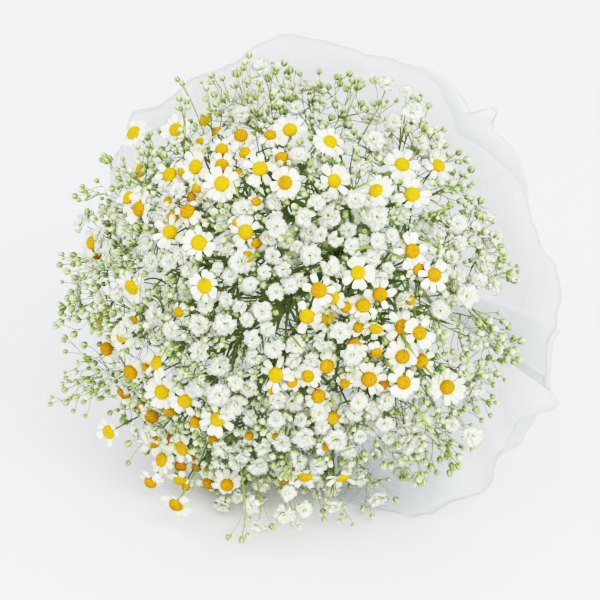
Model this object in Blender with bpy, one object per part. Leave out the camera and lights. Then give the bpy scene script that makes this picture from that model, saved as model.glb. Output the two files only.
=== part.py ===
# A tied bouquet of small daisies and gypsophila in one sheet of pale wrap, lying on a table.
# Metres, +Z up. The flowers face -Y, the cut stems lie towards +Y, and the part rests on z = 0.
#
# Most places are in bouquet coordinates (p, q, s): p runs across to the right, q runs up across
# the bunch, and s runs along its axis from the tie (s = 0) to the flowers. The axis rises by
# LEAN towards the flowers. Stalks, petals and florets are kept apart from other sprays by
# treating each one as a few capsules, and by trying another place where two would touch.

import math

import bmesh
import bpy
import numpy as np

MM = 0.001
SEED = 20

# How the bunch lies
LEAN = math.radians(17)
TIE_HEIGHT = 60 * MM

# The flower head is half an ellipsoid: across, up, and forward along the axis
DOME = np.array([121, 113, 84]) * MM
DOME_CENTRE = np.array([0, 0, 190]) * MM

# The photograph's sight lines, which place the blooms that were read off it by eye
VIEW_TURN = math.radians(13)
VIEW_RISE = math.radians(28)
VIEW_DISTANCE = 0.97
VIEW_FOCAL_PX = 1701
VIEW_MIDDLE_PX = (300, 300)
HEAD_SEEN_AT_PX = (284, 303)
HEAD_SEEN = np.array([0, 0, 215]) * MM

# Stems stand in rings, closest together at the tie
STEM_RINGS = ((0, 1), (31.5 * MM, 6), (63 * MM, 12), (94.5 * MM, 18))
STEM_PLACE_JITTER = 0.6 * MM
STEM_HEIGHT_JITTER = 5 * MM
STEM_BENDS = (60 * MM, 118 * MM)
STEM_RADIUS = 1.6 * MM
STEM_UPPER_RADIUS = 1.47 * MM
STEM_TOP_RADIUS = 0.85 * MM
STEM_TOPS = (222 * MM, 218 * MM, 203 * MM, 180 * MM)
STEM_CUT_ENDS = -106 * MM
TIE_SQUEEZE = 0.100
FLOWER_SPREAD = 0.0042 / MM
TAIL_SPREAD = 0.0020 / MM
STALK_RADIUS = 0.7 * MM
TWIG_RADIUS = 0.6 * MM

# Narrow leaves
LEAF_LENGTH = (30 * MM, 46 * MM)
LEAF_BELOW_TOP = (8 * MM, 60 * MM)
LEAF_HALF_WIDTH = 1.7 * MM
LEAF_HALF_THICK = 0.5 * MM

# Ties: a twine binding round the stems, and a ribbon round the wrap
BINDING_SIDES = 24
BINDING_WIDTH = 6 * MM
BINDING_WALL = 1.5 * MM
OUTERMOST_STEM = 1.02 * STEM_RINGS[-1][0] * TIE_SQUEEZE + STEM_RADIUS
BINDING_INSIDE = (OUTERMOST_STEM + 0.3 * MM) / math.cos(math.pi / BINDING_SIDES)
RIBBON_SIDES = 32
RIBBON_WIDTH = 14 * MM
RIBBON_WALL = 1.0 * MM

# Knot and loose ends of the ribbon. The foot's corners are across and along the ribbon, in mm.
# An end's middle line is across to the right, above the knot's foot, and along, in mm.
KNOT_GAP = 0.4 * MM
KNOT_FOOT = ((-5, -5), (5, -5), (6, 5), (-6, 5))
KNOT_RISE = 3.4 * MM
KNOT_TAPER = 0.8
RIBBON_END = ((0, 1.6, 0), (11, 3.5, 4), (23, -5, 9), (29, -19, 12))
RIBBON_END_HALF = 4.5 * MM
RIBBON_END_WALL = 1.0 * MM

# Wrap: waist at the tie, a wide cone towards the flowers and a short skirt over the stems
WRAP_WALL = 0.9 * MM
WRAP_WAIST = BINDING_INSIDE + BINDING_WALL + 0.5 * MM
WRAP_FLARE = 116 * MM
WRAP_FLARE_AT = 185 * MM
WRAP_SKIRT = 24 * MM
WRAP_SKIRT_END = -86 * MM
WRAP_LAP_GAP = 1.7 * MM
WRAP_STEPS_ROUND = 48
WRAP_LAP_STEPS = 4
WRAP_HELD = RIBBON_WIDTH / 2 + 2 * MM
WRAP_SKIRT_ROWS = (0, 0.5)
WRAP_CONE_ROWS = (0, 0.2, 0.45, 0.68, 0.84, 1)
WRAP_WAVES = 9
WRAP_WAVE_HEIGHT = 5.5 * MM
WRAP_WAVES_FROM = 12 * MM
WRAP_WAVES_GROW = 150 * MM
WRAP_WIDER_RIGHT = 0.03
WRAP_SAG = 9 * MM
WRAP_SEAM = math.radians(-30)
# How far forward the rim comes, at angles round the axis seen from the front
WRAP_RIM_DEG = (-180, -150, -110, -70, -35, -5, 40, 90, 118, 155, 180)
WRAP_RIM_MM = (167, 148, 164, 188, 207, 205, 211, 201, 200, 188, 167)

# Daisies
DISC_RADIUS = 4.5 * MM
DISC_HEIGHT = 2.7 * MM
PETAL_LENGTH = 6.3 * MM
PETAL_THICK = 1.0 * MM
PETAL_TIP_SHARE = 0.86
PETALS_YOUNG = 7
PETALS_AMBER = 6
PETAL_CUP_DEG = (-12, 24)
CALYX_DEPTH = 3.2 * MM
STALK_DROP = 24 * MM
LOWEST_STALK = 92 * MM
LEAST_LEADER = 12 * MM
DAISY_LOAD = 6 * MM

# Gypsophila
FLORET_RADIUS = 6.0 * MM
BUD_RADIUS = 2.0 * MM
FORKS_PER_STEM = 4
FORK_STEP = 9 * MM
FORK_RISE = (10 * MM, 22 * MM)
FORK_SIDE = (11 * MM, 19 * MM)
TWIG_STEP = 2.2 * MM
TWIG_LOAD = 5 * MM

# Room kept between one spray and the next, over the table, and inside and over the wrap
TOUCH_GAP = 0.4 * MM
FLOOR_GAP = 1.6 * MM
WALL_GAP = 2.2 * MM
RIM_GAP = 1.5 * MM
SIZE_JITTER = (0.92, 1.06)
TRIES = 140
LOOSER_EACH_TRY = 0.12
SPIRAL_TURN = 2.39996

# Disc centres of the daisies in the 600 x 600 photograph, read by eye. The ones in the second
# list are older, with amber discs.
YOUNG_DAISIES_PX = (
    (137, 134), (176, 130), (206, 121), (290, 130), (330, 142), (402, 165), (438, 166),
    (141, 171), (170, 175), (196, 167), (222, 184), (260, 169), (334, 181), (376, 191),
    (412, 195), (129, 198), (170, 232), (246, 232), (199, 243), (92, 243), (205, 286),
    (132, 287), (307, 316), (276, 375), (123, 336), (162, 392), (157, 363), (185, 401),
    (218, 419), (109, 432), (181, 480), (305, 476), (342, 477), (376, 328), (358, 273),
)
AMBER_DAISIES_PX = (
    (241, 136), (285, 184), (188, 212), (140, 209), (319, 290), (380, 294), (402, 328),
    (434, 275), (412, 251), (421, 361), (447, 387), (402, 357), (404, 382), (369, 379),
    (327, 366), (318, 396), (107, 349), (131, 372), (152, 416), (153, 441), (172, 440),
    (147, 477), (209, 483), (229, 485), (178, 503), (284, 478), (423, 334),
)
# The larger double florets, read the same way
FLORETS_PX = (
    (244, 210), (276, 228), (274, 202), (304, 218), (328, 216), (299, 155), (362, 211),
    (378, 216), (403, 214), (420, 227), (458, 224), (153, 316), (198, 325), (198, 352),
    (220, 367), (199, 387), (262, 312), (252, 340), (275, 350), (340, 332), (354, 414),
    (292, 402), (276, 420), (304, 438), (262, 448), (282, 444), (336, 441), (332, 490),
    (334, 508), (260, 500), (258, 528), (224, 510), (286, 518), (358, 476), (404, 458),
    (416, 480), (378, 500), (124, 228), (108, 252), (148, 240), (80, 223), (468, 296),
    (419, 111), (438, 139), (308, 88), (240, 112), (261, 68), (386, 77), (485, 216),
    (467, 372), (472, 437), (310, 255), (330, 400), (240, 262), (225, 325), (352, 355),
    (295, 345), (440, 310), (385, 425), (222, 450), (236, 405), (170, 330), (225, 222),
)
# Buds on long twigs that stand clear of the rest, read the same way
TWIG_BUDS_PX = (
    (248, 63), (185, 85), (206, 87), (213, 78), (222, 78), (236, 72), (275, 72), (290, 70),
    (173, 108), (170, 121), (123, 165), (119, 179), (112, 188), (104, 212), (352, 80),
    (361, 86), (413, 95), (430, 105), (443, 131), (412, 122), (462, 152), (451, 183),
    (485, 230), (504, 336), (514, 362), (494, 385), (493, 328), (454, 412), (458, 457),
    (457, 466), (423, 482), (442, 420), (60, 265), (65, 390), (250, 538), (515, 350),
)
EXTRA_FLORETS = 22
EXTRA_BUDS = 14
SIDE_DAISIES = 5


def unit(vectors):
    """Each vector cut to a length of one."""
    return vectors / np.linalg.norm(vectors, axis=-1, keepdims=True)


def to_world(points):
    """Bouquet coordinates to world ones, with the tie over the world's origin."""
    p, q, s = np.moveaxis(np.asarray(points, float), -1, 0)
    y = q * math.sin(LEAN) - s * math.cos(LEAN)
    z = TIE_HEIGHT + q * math.cos(LEAN) + s * math.sin(LEAN)
    return np.stack([p, y, z], axis=-1)


def to_bouquet(directions):
    """World directions to bouquet ones."""
    x, y, z = np.moveaxis(np.asarray(directions, float), -1, 0)
    q = y * math.sin(LEAN) + z * math.cos(LEAN)
    s = z * math.sin(LEAN) - y * math.cos(LEAN)
    return np.stack([x, q, s], axis=-1)


def sight_line(pixel):
    """World direction from the eye through a pixel of the photograph, not yet of length one."""
    turn, rise = VIEW_TURN, VIEW_RISE
    back = np.array([
        math.sin(turn) * math.cos(rise), -math.cos(turn) * math.cos(rise), math.sin(rise)
    ])
    right = np.array([math.cos(turn), math.sin(turn), 0])
    up = np.cross(back, right)
    across = (pixel[0] - VIEW_MIDDLE_PX[0]) / VIEW_FOCAL_PX
    down = (pixel[1] - VIEW_MIDDLE_PX[1]) / VIEW_FOCAL_PX
    return across * right - down * up - back


def on_dome(pixel, grow):
    """Where a pixel's sight line meets the dome grown by a factor, or passes nearest to it."""
    eye = HEAD_SEEN - to_bouquet(sight_line(HEAD_SEEN_AT_PX)) * VIEW_DISTANCE
    line = to_bouquet(sight_line(pixel))
    start = (eye - DOME_CENTRE) / (DOME * grow)
    step = line / (DOME * grow)
    a, b, c = step @ step, start @ step, start @ start - 1
    return eye + line * (-b - math.sqrt(max(b * b - a * c, 0))) / a


def dome_point(angle, lift, grow):
    """A point of the dome at an angle round the axis and a height from its rim (0) to front (1)."""
    flat = math.sqrt(max(1 - lift * lift, 0))
    return DOME_CENTRE + DOME * grow * np.array(
        [flat * math.cos(angle), flat * math.sin(angle), lift]
    )


def dome_normal(point):
    """Outward direction of the dome near a point, turned partly towards its front."""
    return unit(unit((point - DOME_CENTRE) / DOME**2) * 0.7 + np.array([0, 0, 0.3]))


def spread(s):
    """How far the stems stand apart along the axis, as a share of their places in the head."""
    rate = np.where(np.asarray(s) > 0, FLOWER_SPREAD, TAIL_SPREAD)
    return np.sqrt(TIE_SQUEEZE**2 + (rate * s) ** 2)


def on_stem(place, s):
    """A point of the stem whose place in the head is (p, q)."""
    share = spread(s)
    return np.array([place[0] * share, place[1] * share, s])


def rim_reach(angle):
    """How far forward the wrap's rim comes at an angle round the axis."""
    degrees = (np.degrees(angle) + 180) % 360 - 180
    return np.interp(degrees, WRAP_RIM_DEG, WRAP_RIM_MM) * MM


def wrap_radius(angle, s):
    """Outer radius of the wrap: a flared cone with soft waves that grow away from the waist,
    and that sags, with flatter waves, along the line where it meets the table."""
    s = np.asarray(s, float)
    cone = WRAP_FLARE * (np.maximum(s - WRAP_HELD, 0) / (WRAP_FLARE_AT - WRAP_HELD)) ** 1.05
    skirt = WRAP_SKIRT * (np.maximum(-WRAP_HELD - s, 0) / (-WRAP_HELD - WRAP_SKIRT_END)) ** 1.2
    wave = np.sin(WRAP_WAVES * angle + 1.3 * np.sin(2 * angle)) + 0.5 * np.sin(4 * angle + 1)
    reach = np.clip((np.abs(s) - WRAP_WAVES_FROM) / WRAP_WAVES_GROW, 0, 1)
    wider = 1 + WRAP_WIDER_RIGHT * np.cos(angle) * reach
    low = np.maximum(-np.sin(angle), 0) ** 6
    soft = (WRAP_WAVE_HEIGHT * wave * (1 - 0.85 * low) + WRAP_SAG * low) * reach
    return (WRAP_WAIST + WRAP_WALL + cone + skirt) * wider + soft


def bezier(a, b, c, d, count):
    """Points at even steps along a cubic curve."""
    t = np.linspace(0, 1, count)[:, None]
    return (1 - t) ** 3 * a + 3 * (1 - t) ** 2 * t * b + 3 * (1 - t) * t * t * c + t**3 * d


def side_frame(axis):
    """Two directions square to an axis and to each other."""
    helper = np.array([0, 1, 0]) if abs(axis[1]) < 0.9 else np.array([1, 0, 0])
    x = unit(np.cross(helper, axis))
    return x, np.cross(axis, x)


def segment_gaps(a0, a1, b0, b1):
    """Distance between every segment a and every segment b, as an array."""
    u = (a1 - a0)[:, None]
    v = (b1 - b0)[None]
    w = a0[:, None] - b0[None]
    uu, vv, uv = (u * u).sum(-1), (v * v).sum(-1), (u * v).sum(-1)
    uw, vw = (u * w).sum(-1), (v * w).sum(-1)
    tiny = 1e-12
    s = np.clip((uv * vw - vv * uw) / np.maximum(uu * vv - uv * uv, tiny), 0, 1)
    t = np.clip((uv * s + vw) / np.maximum(vv, tiny), 0, 1)
    s = np.clip((uv * t - uw) / np.maximum(uu, tiny), 0, 1)
    return np.linalg.norm(w + s[..., None] * u - t[..., None] * v, axis=-1)


class Crowd:
    """Capsules that stand for everything placed so far: ends, radius, owner, and if a head."""

    def __init__(self):
        self.start = np.zeros((0, 3))
        self.end = np.zeros((0, 3))
        self.radius = np.zeros(0)
        self.owner = np.zeros(0, int)
        self.head = np.zeros(0, bool)

    def add(self, owner, capsules):
        start, end, radius, head = capsules
        self.start = np.vstack([self.start, start])
        self.end = np.vstack([self.end, end])
        self.radius = np.append(self.radius, radius)
        self.owner = np.append(self.owner, np.full(len(radius), owner))
        self.head = np.append(self.head, head)

    def free(self, owner, capsules):
        """Whether the capsules clear the floor, the wrap, other sprays and their own heads."""
        start, end, radius, head = capsules
        points = np.vstack([start, (start + end) / 2, end])
        around = np.tile(radius, 3)
        if (to_world(points)[:, 2] - around < FLOOR_GAP).any():
            return False
        angle = np.arctan2(points[:, 1], points[:, 0])
        wall = wrap_radius(angle, points[:, 2]) - WRAP_WALL - WALL_GAP
        out = np.hypot(points[:, 0], points[:, 1]) + around > wall
        if (out & (points[:, 2] - around < rim_reach(angle) + RIM_GAP)).any():
            return False
        gaps = segment_gaps(start, end, self.start, self.end)
        gaps = gaps - radius[:, None] - self.radius[None]
        others = gaps[:, self.owner != owner]
        if others.size and others.min() < TOUCH_GAP:
            return False
        heads = gaps[np.ix_(head, (self.owner == owner) & self.head)]
        return not heads.size or heads.min() > 0


def path_capsules(path, radius):
    count = len(path) - 1
    return path[:-1], path[1:], np.full(count, radius), np.zeros(count, bool)


def daisy_capsules(daisy):
    """The petals' midlines, the disc and the stalk."""
    x, y = side_frame(daisy["normal"])
    count = daisy["petals"]
    turn = daisy["roll"] + (np.arange(count) + 0.5) * 2 * math.pi / count
    outward = np.cos(turn)[:, None] * x + np.sin(turn)[:, None] * y
    rise = daisy["normal"] * math.sin(daisy["cup"])
    root = daisy["disc"] * math.cos(math.pi / count)
    base = daisy["place"] + outward * root
    tip = base + (outward * math.cos(daisy["cup"]) + rise) * (daisy["petal"] - 1.3 * MM)
    half = daisy["disc"] * math.sin(math.pi / count)
    disc = daisy["place"] + daisy["normal"] * np.array([[-0.6], [0.8]]) * MM
    start, end, radius, head = path_capsules(daisy["path"], STALK_RADIUS)
    return (
        np.vstack([base, disc[:1], start]),
        np.vstack([tip, disc[1:], end]),
        np.concatenate([np.full(count, half), [daisy["disc"] * 0.95], radius]),
        np.concatenate([np.ones(count + 1, bool), head]),
    )


def ball_capsules(ball):
    """A floret or bud as one ball, with its stalk."""
    start, end, radius, head = path_capsules(ball["path"], TWIG_RADIUS)
    return (
        np.vstack([ball["place"], start]),
        np.vstack([ball["place"], end]),
        np.append(ball["radius"] * 1.03, radius),
        np.append(True, head),
    )


def grow_stems(rng):
    """The main stems, on rings, taking turns between the two kinds of flower."""
    stems = []
    for ring, (radius, count) in enumerate(STEM_RINGS):
        for i in range(count):
            angle = 2 * math.pi * (i + 0.5 * (ring % 2)) / count + 0.12 * ring
            place = radius * np.array([math.cos(angle), math.sin(angle)])
            place = place + rng.uniform(-1, 1, 2) * STEM_PLACE_JITTER
            top = STEM_TOPS[ring] + rng.uniform(-1, 1) * STEM_HEIGHT_JITTER
            cut = STEM_CUT_ENDS + rng.uniform(-1, 1) * STEM_HEIGHT_JITTER
            held = BINDING_WIDTH / 2 + 3 * MM
            heights = np.array([cut, -held, held, *STEM_BENDS, top])
            stems.append({
                "kind": "gypsophila" if (i + ring) % 2 == 0 else "daisy",
                "place": place,
                "top": top,
                "path": np.array([on_stem(place, s) for s in heights]),
                "daisies": [],
                "forks": [],
                "leaves": [],
            })
    return stems


def stalk_path(root, along, end, normal, count, wobble):
    """A curved stalk that leaves partly along its stem and arrives square to the flower."""
    length = np.linalg.norm(end - root)
    first = root + unit(along + unit(end - root) * 0.7) * length * 0.36 + wobble
    last = end - normal * length * 0.34 - wobble * 0.5
    return bezier(root, first, last, end, count)


def nearest_stem(stems, kind, point):
    """The stem of a kind that passes nearest under a point, with a cost for those already full."""
    best = None
    for index, stem in enumerate(stems):
        if stem["kind"] != kind:
            continue
        under = on_stem(stem["place"], min(point[2] - 50 * MM, stem["top"]))
        cost = np.hypot(*(point - under)[:2]) + DAISY_LOAD * len(stem["daisies"])
        if best is None or cost < best[0]:
            best = (cost, index)
    return best[1]


def grow_daisies(stems, crowd, rng):
    """A bloom at each place read off the photograph, and a few on the side it does not see."""
    wanted = [(pixel, 0) for pixel in YOUNG_DAISIES_PX] + [(pixel, 1) for pixel in AMBER_DAISIES_PX]
    for i in range(SIDE_DAISIES):
        angle = math.radians(140 + 110 * (i + 0.5) / SIDE_DAISIES)
        wanted.append((dome_point(angle, rng.uniform(-0.1, 0.35), 1.0), i % 2))
    missed = 0
    for seen, age in wanted:
        disc = DISC_RADIUS * rng.uniform(*SIZE_JITTER)
        petal = PETAL_LENGTH * rng.uniform(*SIZE_JITTER)
        for attempt in range(TRIES):
            loose = 1 + attempt * LOOSER_EACH_TRY
            grow = 1.0 + rng.uniform(-0.05, 0.04) * loose * (0.6 if age else 1)
            place = on_dome(seen, grow) if len(seen) == 2 else seen * 1.0
            place = place + rng.normal(0, 0.35, 3) * MM * (loose - 1)
            normal = unit(dome_normal(place) + rng.normal(0, 0.16, 3))
            index = nearest_stem(stems, "daisy", place)
            stem = stems[index]
            aside = np.hypot(*(place - on_stem(stem["place"], place[2] - 50 * MM))[:2])
            low = place[2] - STALK_DROP - 0.5 * aside - rng.uniform(0, 9) * MM
            height = min(max(low, LOWEST_STALK), stem["top"] - 7 * MM)
            above = place[2] - stem["top"]
            leads = not stem["daisies"] and above > LEAST_LEADER + 0.4 * aside
            if leads:
                height = stem["top"]
            root = on_stem(stem["place"], height)
            along = unit(on_stem(stem["place"], height + MM) - root)
            end = place - normal * CALYX_DEPTH
            wobble = rng.normal(0, 1.0, 3) * MM * loose
            daisy = {
                "place": place,
                "normal": normal,
                "roll": rng.uniform(0, 2 * math.pi),
                "cup": math.radians(rng.uniform(*PETAL_CUP_DEG)),
                "petals": PETALS_AMBER if age else PETALS_YOUNG,
                "disc": disc,
                "petal": petal,
                "age": age,
                "leads": leads,
                "path": stalk_path(root, along * (1.0 if leads else 0.3), end, normal, 3, wobble),
            }
            capsules = daisy_capsules(daisy)
            if crowd.free(index, capsules):
                crowd.add(index, capsules)
                stem["daisies"].append(daisy)
                break
        else:
            missed += 1
    return missed


def grow_forks(stems, crowd, rng):
    """Side branches of each gypsophila stem, from below its top out to where its twigs fork."""
    for index, stem in enumerate(stems):
        if stem["kind"] != "gypsophila":
            continue
        top = on_stem(stem["place"], stem["top"])
        along = unit(top - on_stem(stem["place"], stem["top"] - MM))
        x, y = side_frame(along)
        start_turn = rng.uniform(0, 2 * math.pi)
        for i in range(FORKS_PER_STEM):
            for _ in range(TRIES):
                turn = start_turn + 2 * math.pi * (i + rng.uniform(-0.2, 0.2)) / FORKS_PER_STEM
                side = np.cos(turn) * x + np.sin(turn) * y
                fork = top + along * rng.uniform(*FORK_RISE) + side * rng.uniform(*FORK_SIDE)
                root = on_stem(stem["place"], stem["top"] - FORK_STEP * i)
                keep = along * (0.3 if i else 1.0)
                path = stalk_path(root, keep, fork, unit(along + side * 0.5), 3, 0)
                capsules = path_capsules(path, STALK_RADIUS)
                if crowd.free(index, capsules):
                    crowd.add(index, capsules)
                    stem["forks"].append({"path": path, "leads": i == 0, "balls": []})
                    break


def grow_balls(stems, crowd, rng, wanted, kind, radius, out):
    """Florets or buds at wanted places, each on a twig from the nearest fork."""
    forks = [(i, fork) for i, stem in enumerate(stems) for fork in stem["forks"]]
    places = np.array([fork["path"][-1] for _, fork in forks])
    missed = 0
    for seen in wanted:
        size = radius * rng.uniform(0.86, 1.14)
        for attempt in range(TRIES):
            loose = 1 + attempt * LOOSER_EACH_TRY
            if len(seen) == 2:
                place = on_dome(seen, out + rng.uniform(-0.05, 0.05) * loose)
            else:
                place = seen + rng.normal(0, 0.8, 3) * MM * loose
            place = place + rng.normal(0, 0.35, 3) * MM * (loose - 1)
            normal = unit(dome_normal(place) + rng.normal(0, 0.2, 3))
            reach = np.linalg.norm(places + dome_normal(place) * 20 * MM - place, axis=1)
            load = np.array([len(fork["balls"]) for _, fork in forks])
            choice = int(np.argmin(reach + TWIG_LOAD * load + rng.uniform(0, 2) * MM * attempt))
            index, fork = forks[choice]
            along = unit(fork["path"][-1] - fork["path"][-2])
            root = fork["path"][-1] - along * TWIG_STEP * len(fork["balls"])
            along = along * (0.2 if fork["balls"] else 1.0)
            end = place - normal * size * 0.9
            wobble = rng.normal(0, 0.8, 3) * MM * loose
            ball = {
                "kind": kind,
                "place": place,
                "normal": normal,
                "roll": rng.uniform(0, 2 * math.pi),
                "radius": size,
                "path": stalk_path(root, along, end, normal, 3, wobble),
            }
            capsules = ball_capsules(ball)
            if crowd.free(index, capsules):
                crowd.add(index, capsules)
                fork["balls"].append(ball)
                break
        else:
            missed += 1
    return missed


def scattered(rng, count, low, grow):
    """Even random places over the whole dome, down to a height below its widest ring."""
    places = []
    for i in range(count):
        lift = low + (0.98 - low) * (i + rng.uniform(0, 1)) / count
        places.append(dome_point(i * SPIRAL_TURN + rng.uniform(-0.4, 0.4), lift, grow))
    return places


def grow_leaves(stems, crowd, rng):
    """A narrow leaf on every other stem, arching outward under the blooms."""
    for index, stem in enumerate(stems):
        if index % 2:
            for _ in range(TRIES // 2):
                height = stem["top"] - rng.uniform(*LEAF_BELOW_TOP)
                root = on_stem(stem["place"], height)
                along = unit(on_stem(stem["place"], height + MM) - root)
                x, y = side_frame(along)
                turn = rng.uniform(0, 2 * math.pi)
                side = math.cos(turn) * x + math.sin(turn) * y
                length = rng.uniform(*LEAF_LENGTH)
                middle = root + (along * 0.8 + side * 0.6) * length * 0.5
                tip = middle + (along * 0.6 + side * 0.8) * length * 0.5
                path = np.array([root, middle, tip])
                capsules = path_capsules(path, LEAF_HALF_WIDTH + 0.2 * MM)
                if crowd.free(index, capsules):
                    crowd.add(index, capsules)
                    stem["leaves"].append({"path": path, "flat": np.cross(side, along)})
                    break


def grow_bouquet():
    """Every stem with all that grows on it, the same each time."""
    rng = np.random.default_rng(SEED)
    stems = grow_stems(rng)
    crowd = Crowd()
    for index, stem in enumerate(stems):
        crowd.add(index, path_capsules(stem["path"], STEM_RADIUS))
    grow_forks(stems, crowd, rng)
    missed = [grow_daisies(stems, crowd, rng)]
    for kind, wanted, radius, out in (
        ("floret", list(FLORETS_PX) + scattered(rng, EXTRA_FLORETS, -0.25, 1.0), FLORET_RADIUS, 1.0),
        ("bud", list(TWIG_BUDS_PX) + scattered(rng, EXTRA_BUDS, -0.2, 1.05), BUD_RADIUS, 1.08),
    ):
        missed.append(grow_balls(stems, crowd, rng, wanted, kind, radius, out))
    grow_leaves(stems, crowd, rng)
    print("places left empty: daisies, florets, buds", missed)
    return stems


def material(name, colour, roughness, alpha=1.0):
    made = bpy.data.materials.new(name)
    made.use_nodes = True
    shader = made.node_tree.nodes["Principled BSDF"]
    shader.inputs["Base Color"].default_value = (*colour, 1)
    shader.inputs["Roughness"].default_value = roughness
    shader.inputs["Metallic"].default_value = 0
    shader.inputs["Alpha"].default_value = alpha
    made.diffuse_color = (*colour, alpha)
    return made


STEM, WHITE, YOUNG, AMBER, BUD = range(5)


def plant_materials():
    """Slots of every spray, in the order of the numbers above."""
    return [
        material("stalk_green", (0.13, 0.22, 0.05), 0.55),
        material("petal_white", (0.90, 0.91, 0.87), 0.6),
        material("disc_yellow", (0.90, 0.58, 0.01), 0.7),
        material("disc_amber", (0.55, 0.24, 0.01), 0.75),
        material("bud_green", (0.45, 0.55, 0.32), 0.6),
    ]


def ring_points(centre, x, y, radius, sides, turn=0.0):
    """Points evenly round a centre, in the plane of x and y."""
    angle = turn + np.arange(sides) * 2 * math.pi / sides
    return centre + radius * (np.cos(angle)[:, None] * x + np.sin(angle)[:, None] * y)


def loop_band(low, high, sides):
    """Triangles between two rings of equal count, the second further along the outward side."""
    faces = []
    for i in range(sides):
        j = (i + 1) % sides
        faces += [(low + i, low + j, high + j), (low + i, high + j, high + i)]
    return faces


def fan(tip, ring, sides, forward):
    """Triangles from one point to a ring."""
    pairs = [(ring + i, ring + (i + 1) % sides) for i in range(sides)]
    return [(tip, a, b) if forward else (tip, b, a) for a, b in pairs]


def sweep(path, radii, sides):
    """Rings of a tube along a path, mitred at each bend, and the triangles or flat quads
    between them. Each ring's points are carried along their own stretch of tube."""
    steps = unit(np.diff(path, axis=0))
    x, y = side_frame(steps[0])
    offset = ring_points(np.zeros(3), x, y, 1.0, sides)
    rings, faces = [path[0] + radii[0] * offset], []
    for i in range(1, len(path)):
        step = steps[i - 1]
        if i < len(steps):
            mitre = unit(step + steps[i])
            offset = offset - np.outer(offset @ mitre, step) / (step @ mitre)
        rings.append(path[i] + radii[i] * offset)
        if i < len(steps):
            offset = offset - np.outer(offset @ steps[i], steps[i])
        low, high = (i - 1) * sides, i * sides
        if radii[i] == radii[i - 1]:
            for k in range(sides):
                j = (k + 1) % sides
                faces.append((low + k, low + j, high + j, high + k))
        else:
            faces += loop_band(low, high, sides)
    return rings, faces, offset


def tube(path, radii, sides):
    """A few-sided closed tube along a path."""
    rings, faces, _ = sweep(path, radii, sides)
    last = (len(path) - 1) * sides
    faces.append(tuple(range(sides - 1, -1, -1)))
    faces.append(tuple(range(last, last + sides)))
    return np.vstack(rings), faces, [STEM] * len(faces)


def bridge_to_stalk(ring, sides, stalk, turn):
    """Triangles from a flower's lowest ring down to its three-sided stalk, whose first point
    lies at an angle of turn from the ring's first point."""
    third = 2 * math.pi / 3
    first = int(round(-turn / third)) % 3
    lag = math.remainder(turn + first * third, 2 * math.pi) / (2 * math.pi)
    faces = []
    i = j = 0
    while i < sides or j < 3:
        upper, lower = ring + i % sides, stalk + (first + j) % 3
        if j == 3 or (i < sides and (i + 0.5) / sides <= (j + 0.5) / 3 + lag):
            faces.append((upper, lower, ring + (i + 1) % sides))
            i += 1
        else:
            faces.append((upper, lower, stalk + (first + j + 1) % 3))
            j += 1
    return faces


def start_flower(flower, stalk, lowest, tag):
    """The stalk of a flower and the faces from its end up to the flower's lowest ring.

    The stalk is (path, radii), is three-sided, and ends inside what carries it.
    """
    path, radii = stalk
    rings, faces, offset = sweep(path, radii, 3)
    faces.append((2, 1, 0))
    tags = [STEM] * len(faces)
    x, y = side_frame(flower["normal"])
    stalk_turn = math.atan2(offset[0] @ y, offset[0] @ x)
    low = len(path) * 3
    bridge = bridge_to_stalk(low, len(lowest), low - 3, stalk_turn - flower["roll"])
    return rings + [lowest], faces + bridge, tags + [tag] * len(bridge), low


def daisy_mesh(daisy, stalk):
    """Calyx, petals that taper from a ridge at their root, and a domed disc, on a stalk."""
    count = daisy["petals"]
    place, normal = daisy["place"], daisy["normal"]
    disc, cup = daisy["disc"], daisy["cup"]
    x, y = side_frame(normal)
    step = 2 * math.pi / count
    roll = daisy["roll"]

    def spoke(turn):
        return np.cos(turn)[:, None] * x + np.sin(turn)[:, None] * y

    corner_turn = roll + np.arange(count) * step
    corners = place + spoke(corner_turn) * disc
    middle = spoke(corner_turn + step / 2)
    sideways = spoke(corner_turn + step / 2 + math.pi / 2)
    flat = disc * math.cos(step / 2)
    ridge = place + middle * (flat + 0.3 * MM) + normal * PETAL_THICK * 0.55
    keel = place + middle * flat - normal * PETAL_THICK * 0.45
    tip = place + middle * (flat + daisy["petal"] * math.cos(cup))
    tip = tip + normal * daisy["petal"] * math.sin(cup)
    half = disc * math.sin(step / 2) * PETAL_TIP_SHARE
    tip_a = tip - sideways * half
    tip_b = tip + sideways * half
    dome = place + spoke(corner_turn) * disc * 0.62 + normal * DISC_HEIGHT * 0.8
    apex = place + normal * DISC_HEIGHT
    lowest = np.stack([corners, keel], axis=1).reshape(-1, 3)
    points, faces, tags, low = start_flower(daisy, stalk, lowest, STEM)
    a_row = low + 2 * count
    b_row = a_row + count
    ridge_row = b_row + count
    dome_row = ridge_row + count
    top = dome_row + count
    points += [tip_a, tip_b, ridge, dome, apex[None]]
    disc_tag = AMBER if daisy["age"] else YOUNG
    for i in range(count):
        j = (i + 1) % count
        b0, b1, v = low + 2 * i, low + 2 * j, low + 2 * i + 1
        c, d, u = a_row + i, b_row + i, ridge_row + i
        faces += [(u, b0, c), (u, c, d), (u, d, b1), (v, c, b0), (v, d, c), (v, b1, d)]
        tags += [WHITE] * 6
        faces += [(dome_row + i, b0, u), (dome_row + i, u, dome_row + j), (dome_row + j, u, b1)]
        faces += [(top, dome_row + i, dome_row + j)]
        tags += [disc_tag] * 4
    return np.vstack(points), faces, tags


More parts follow.
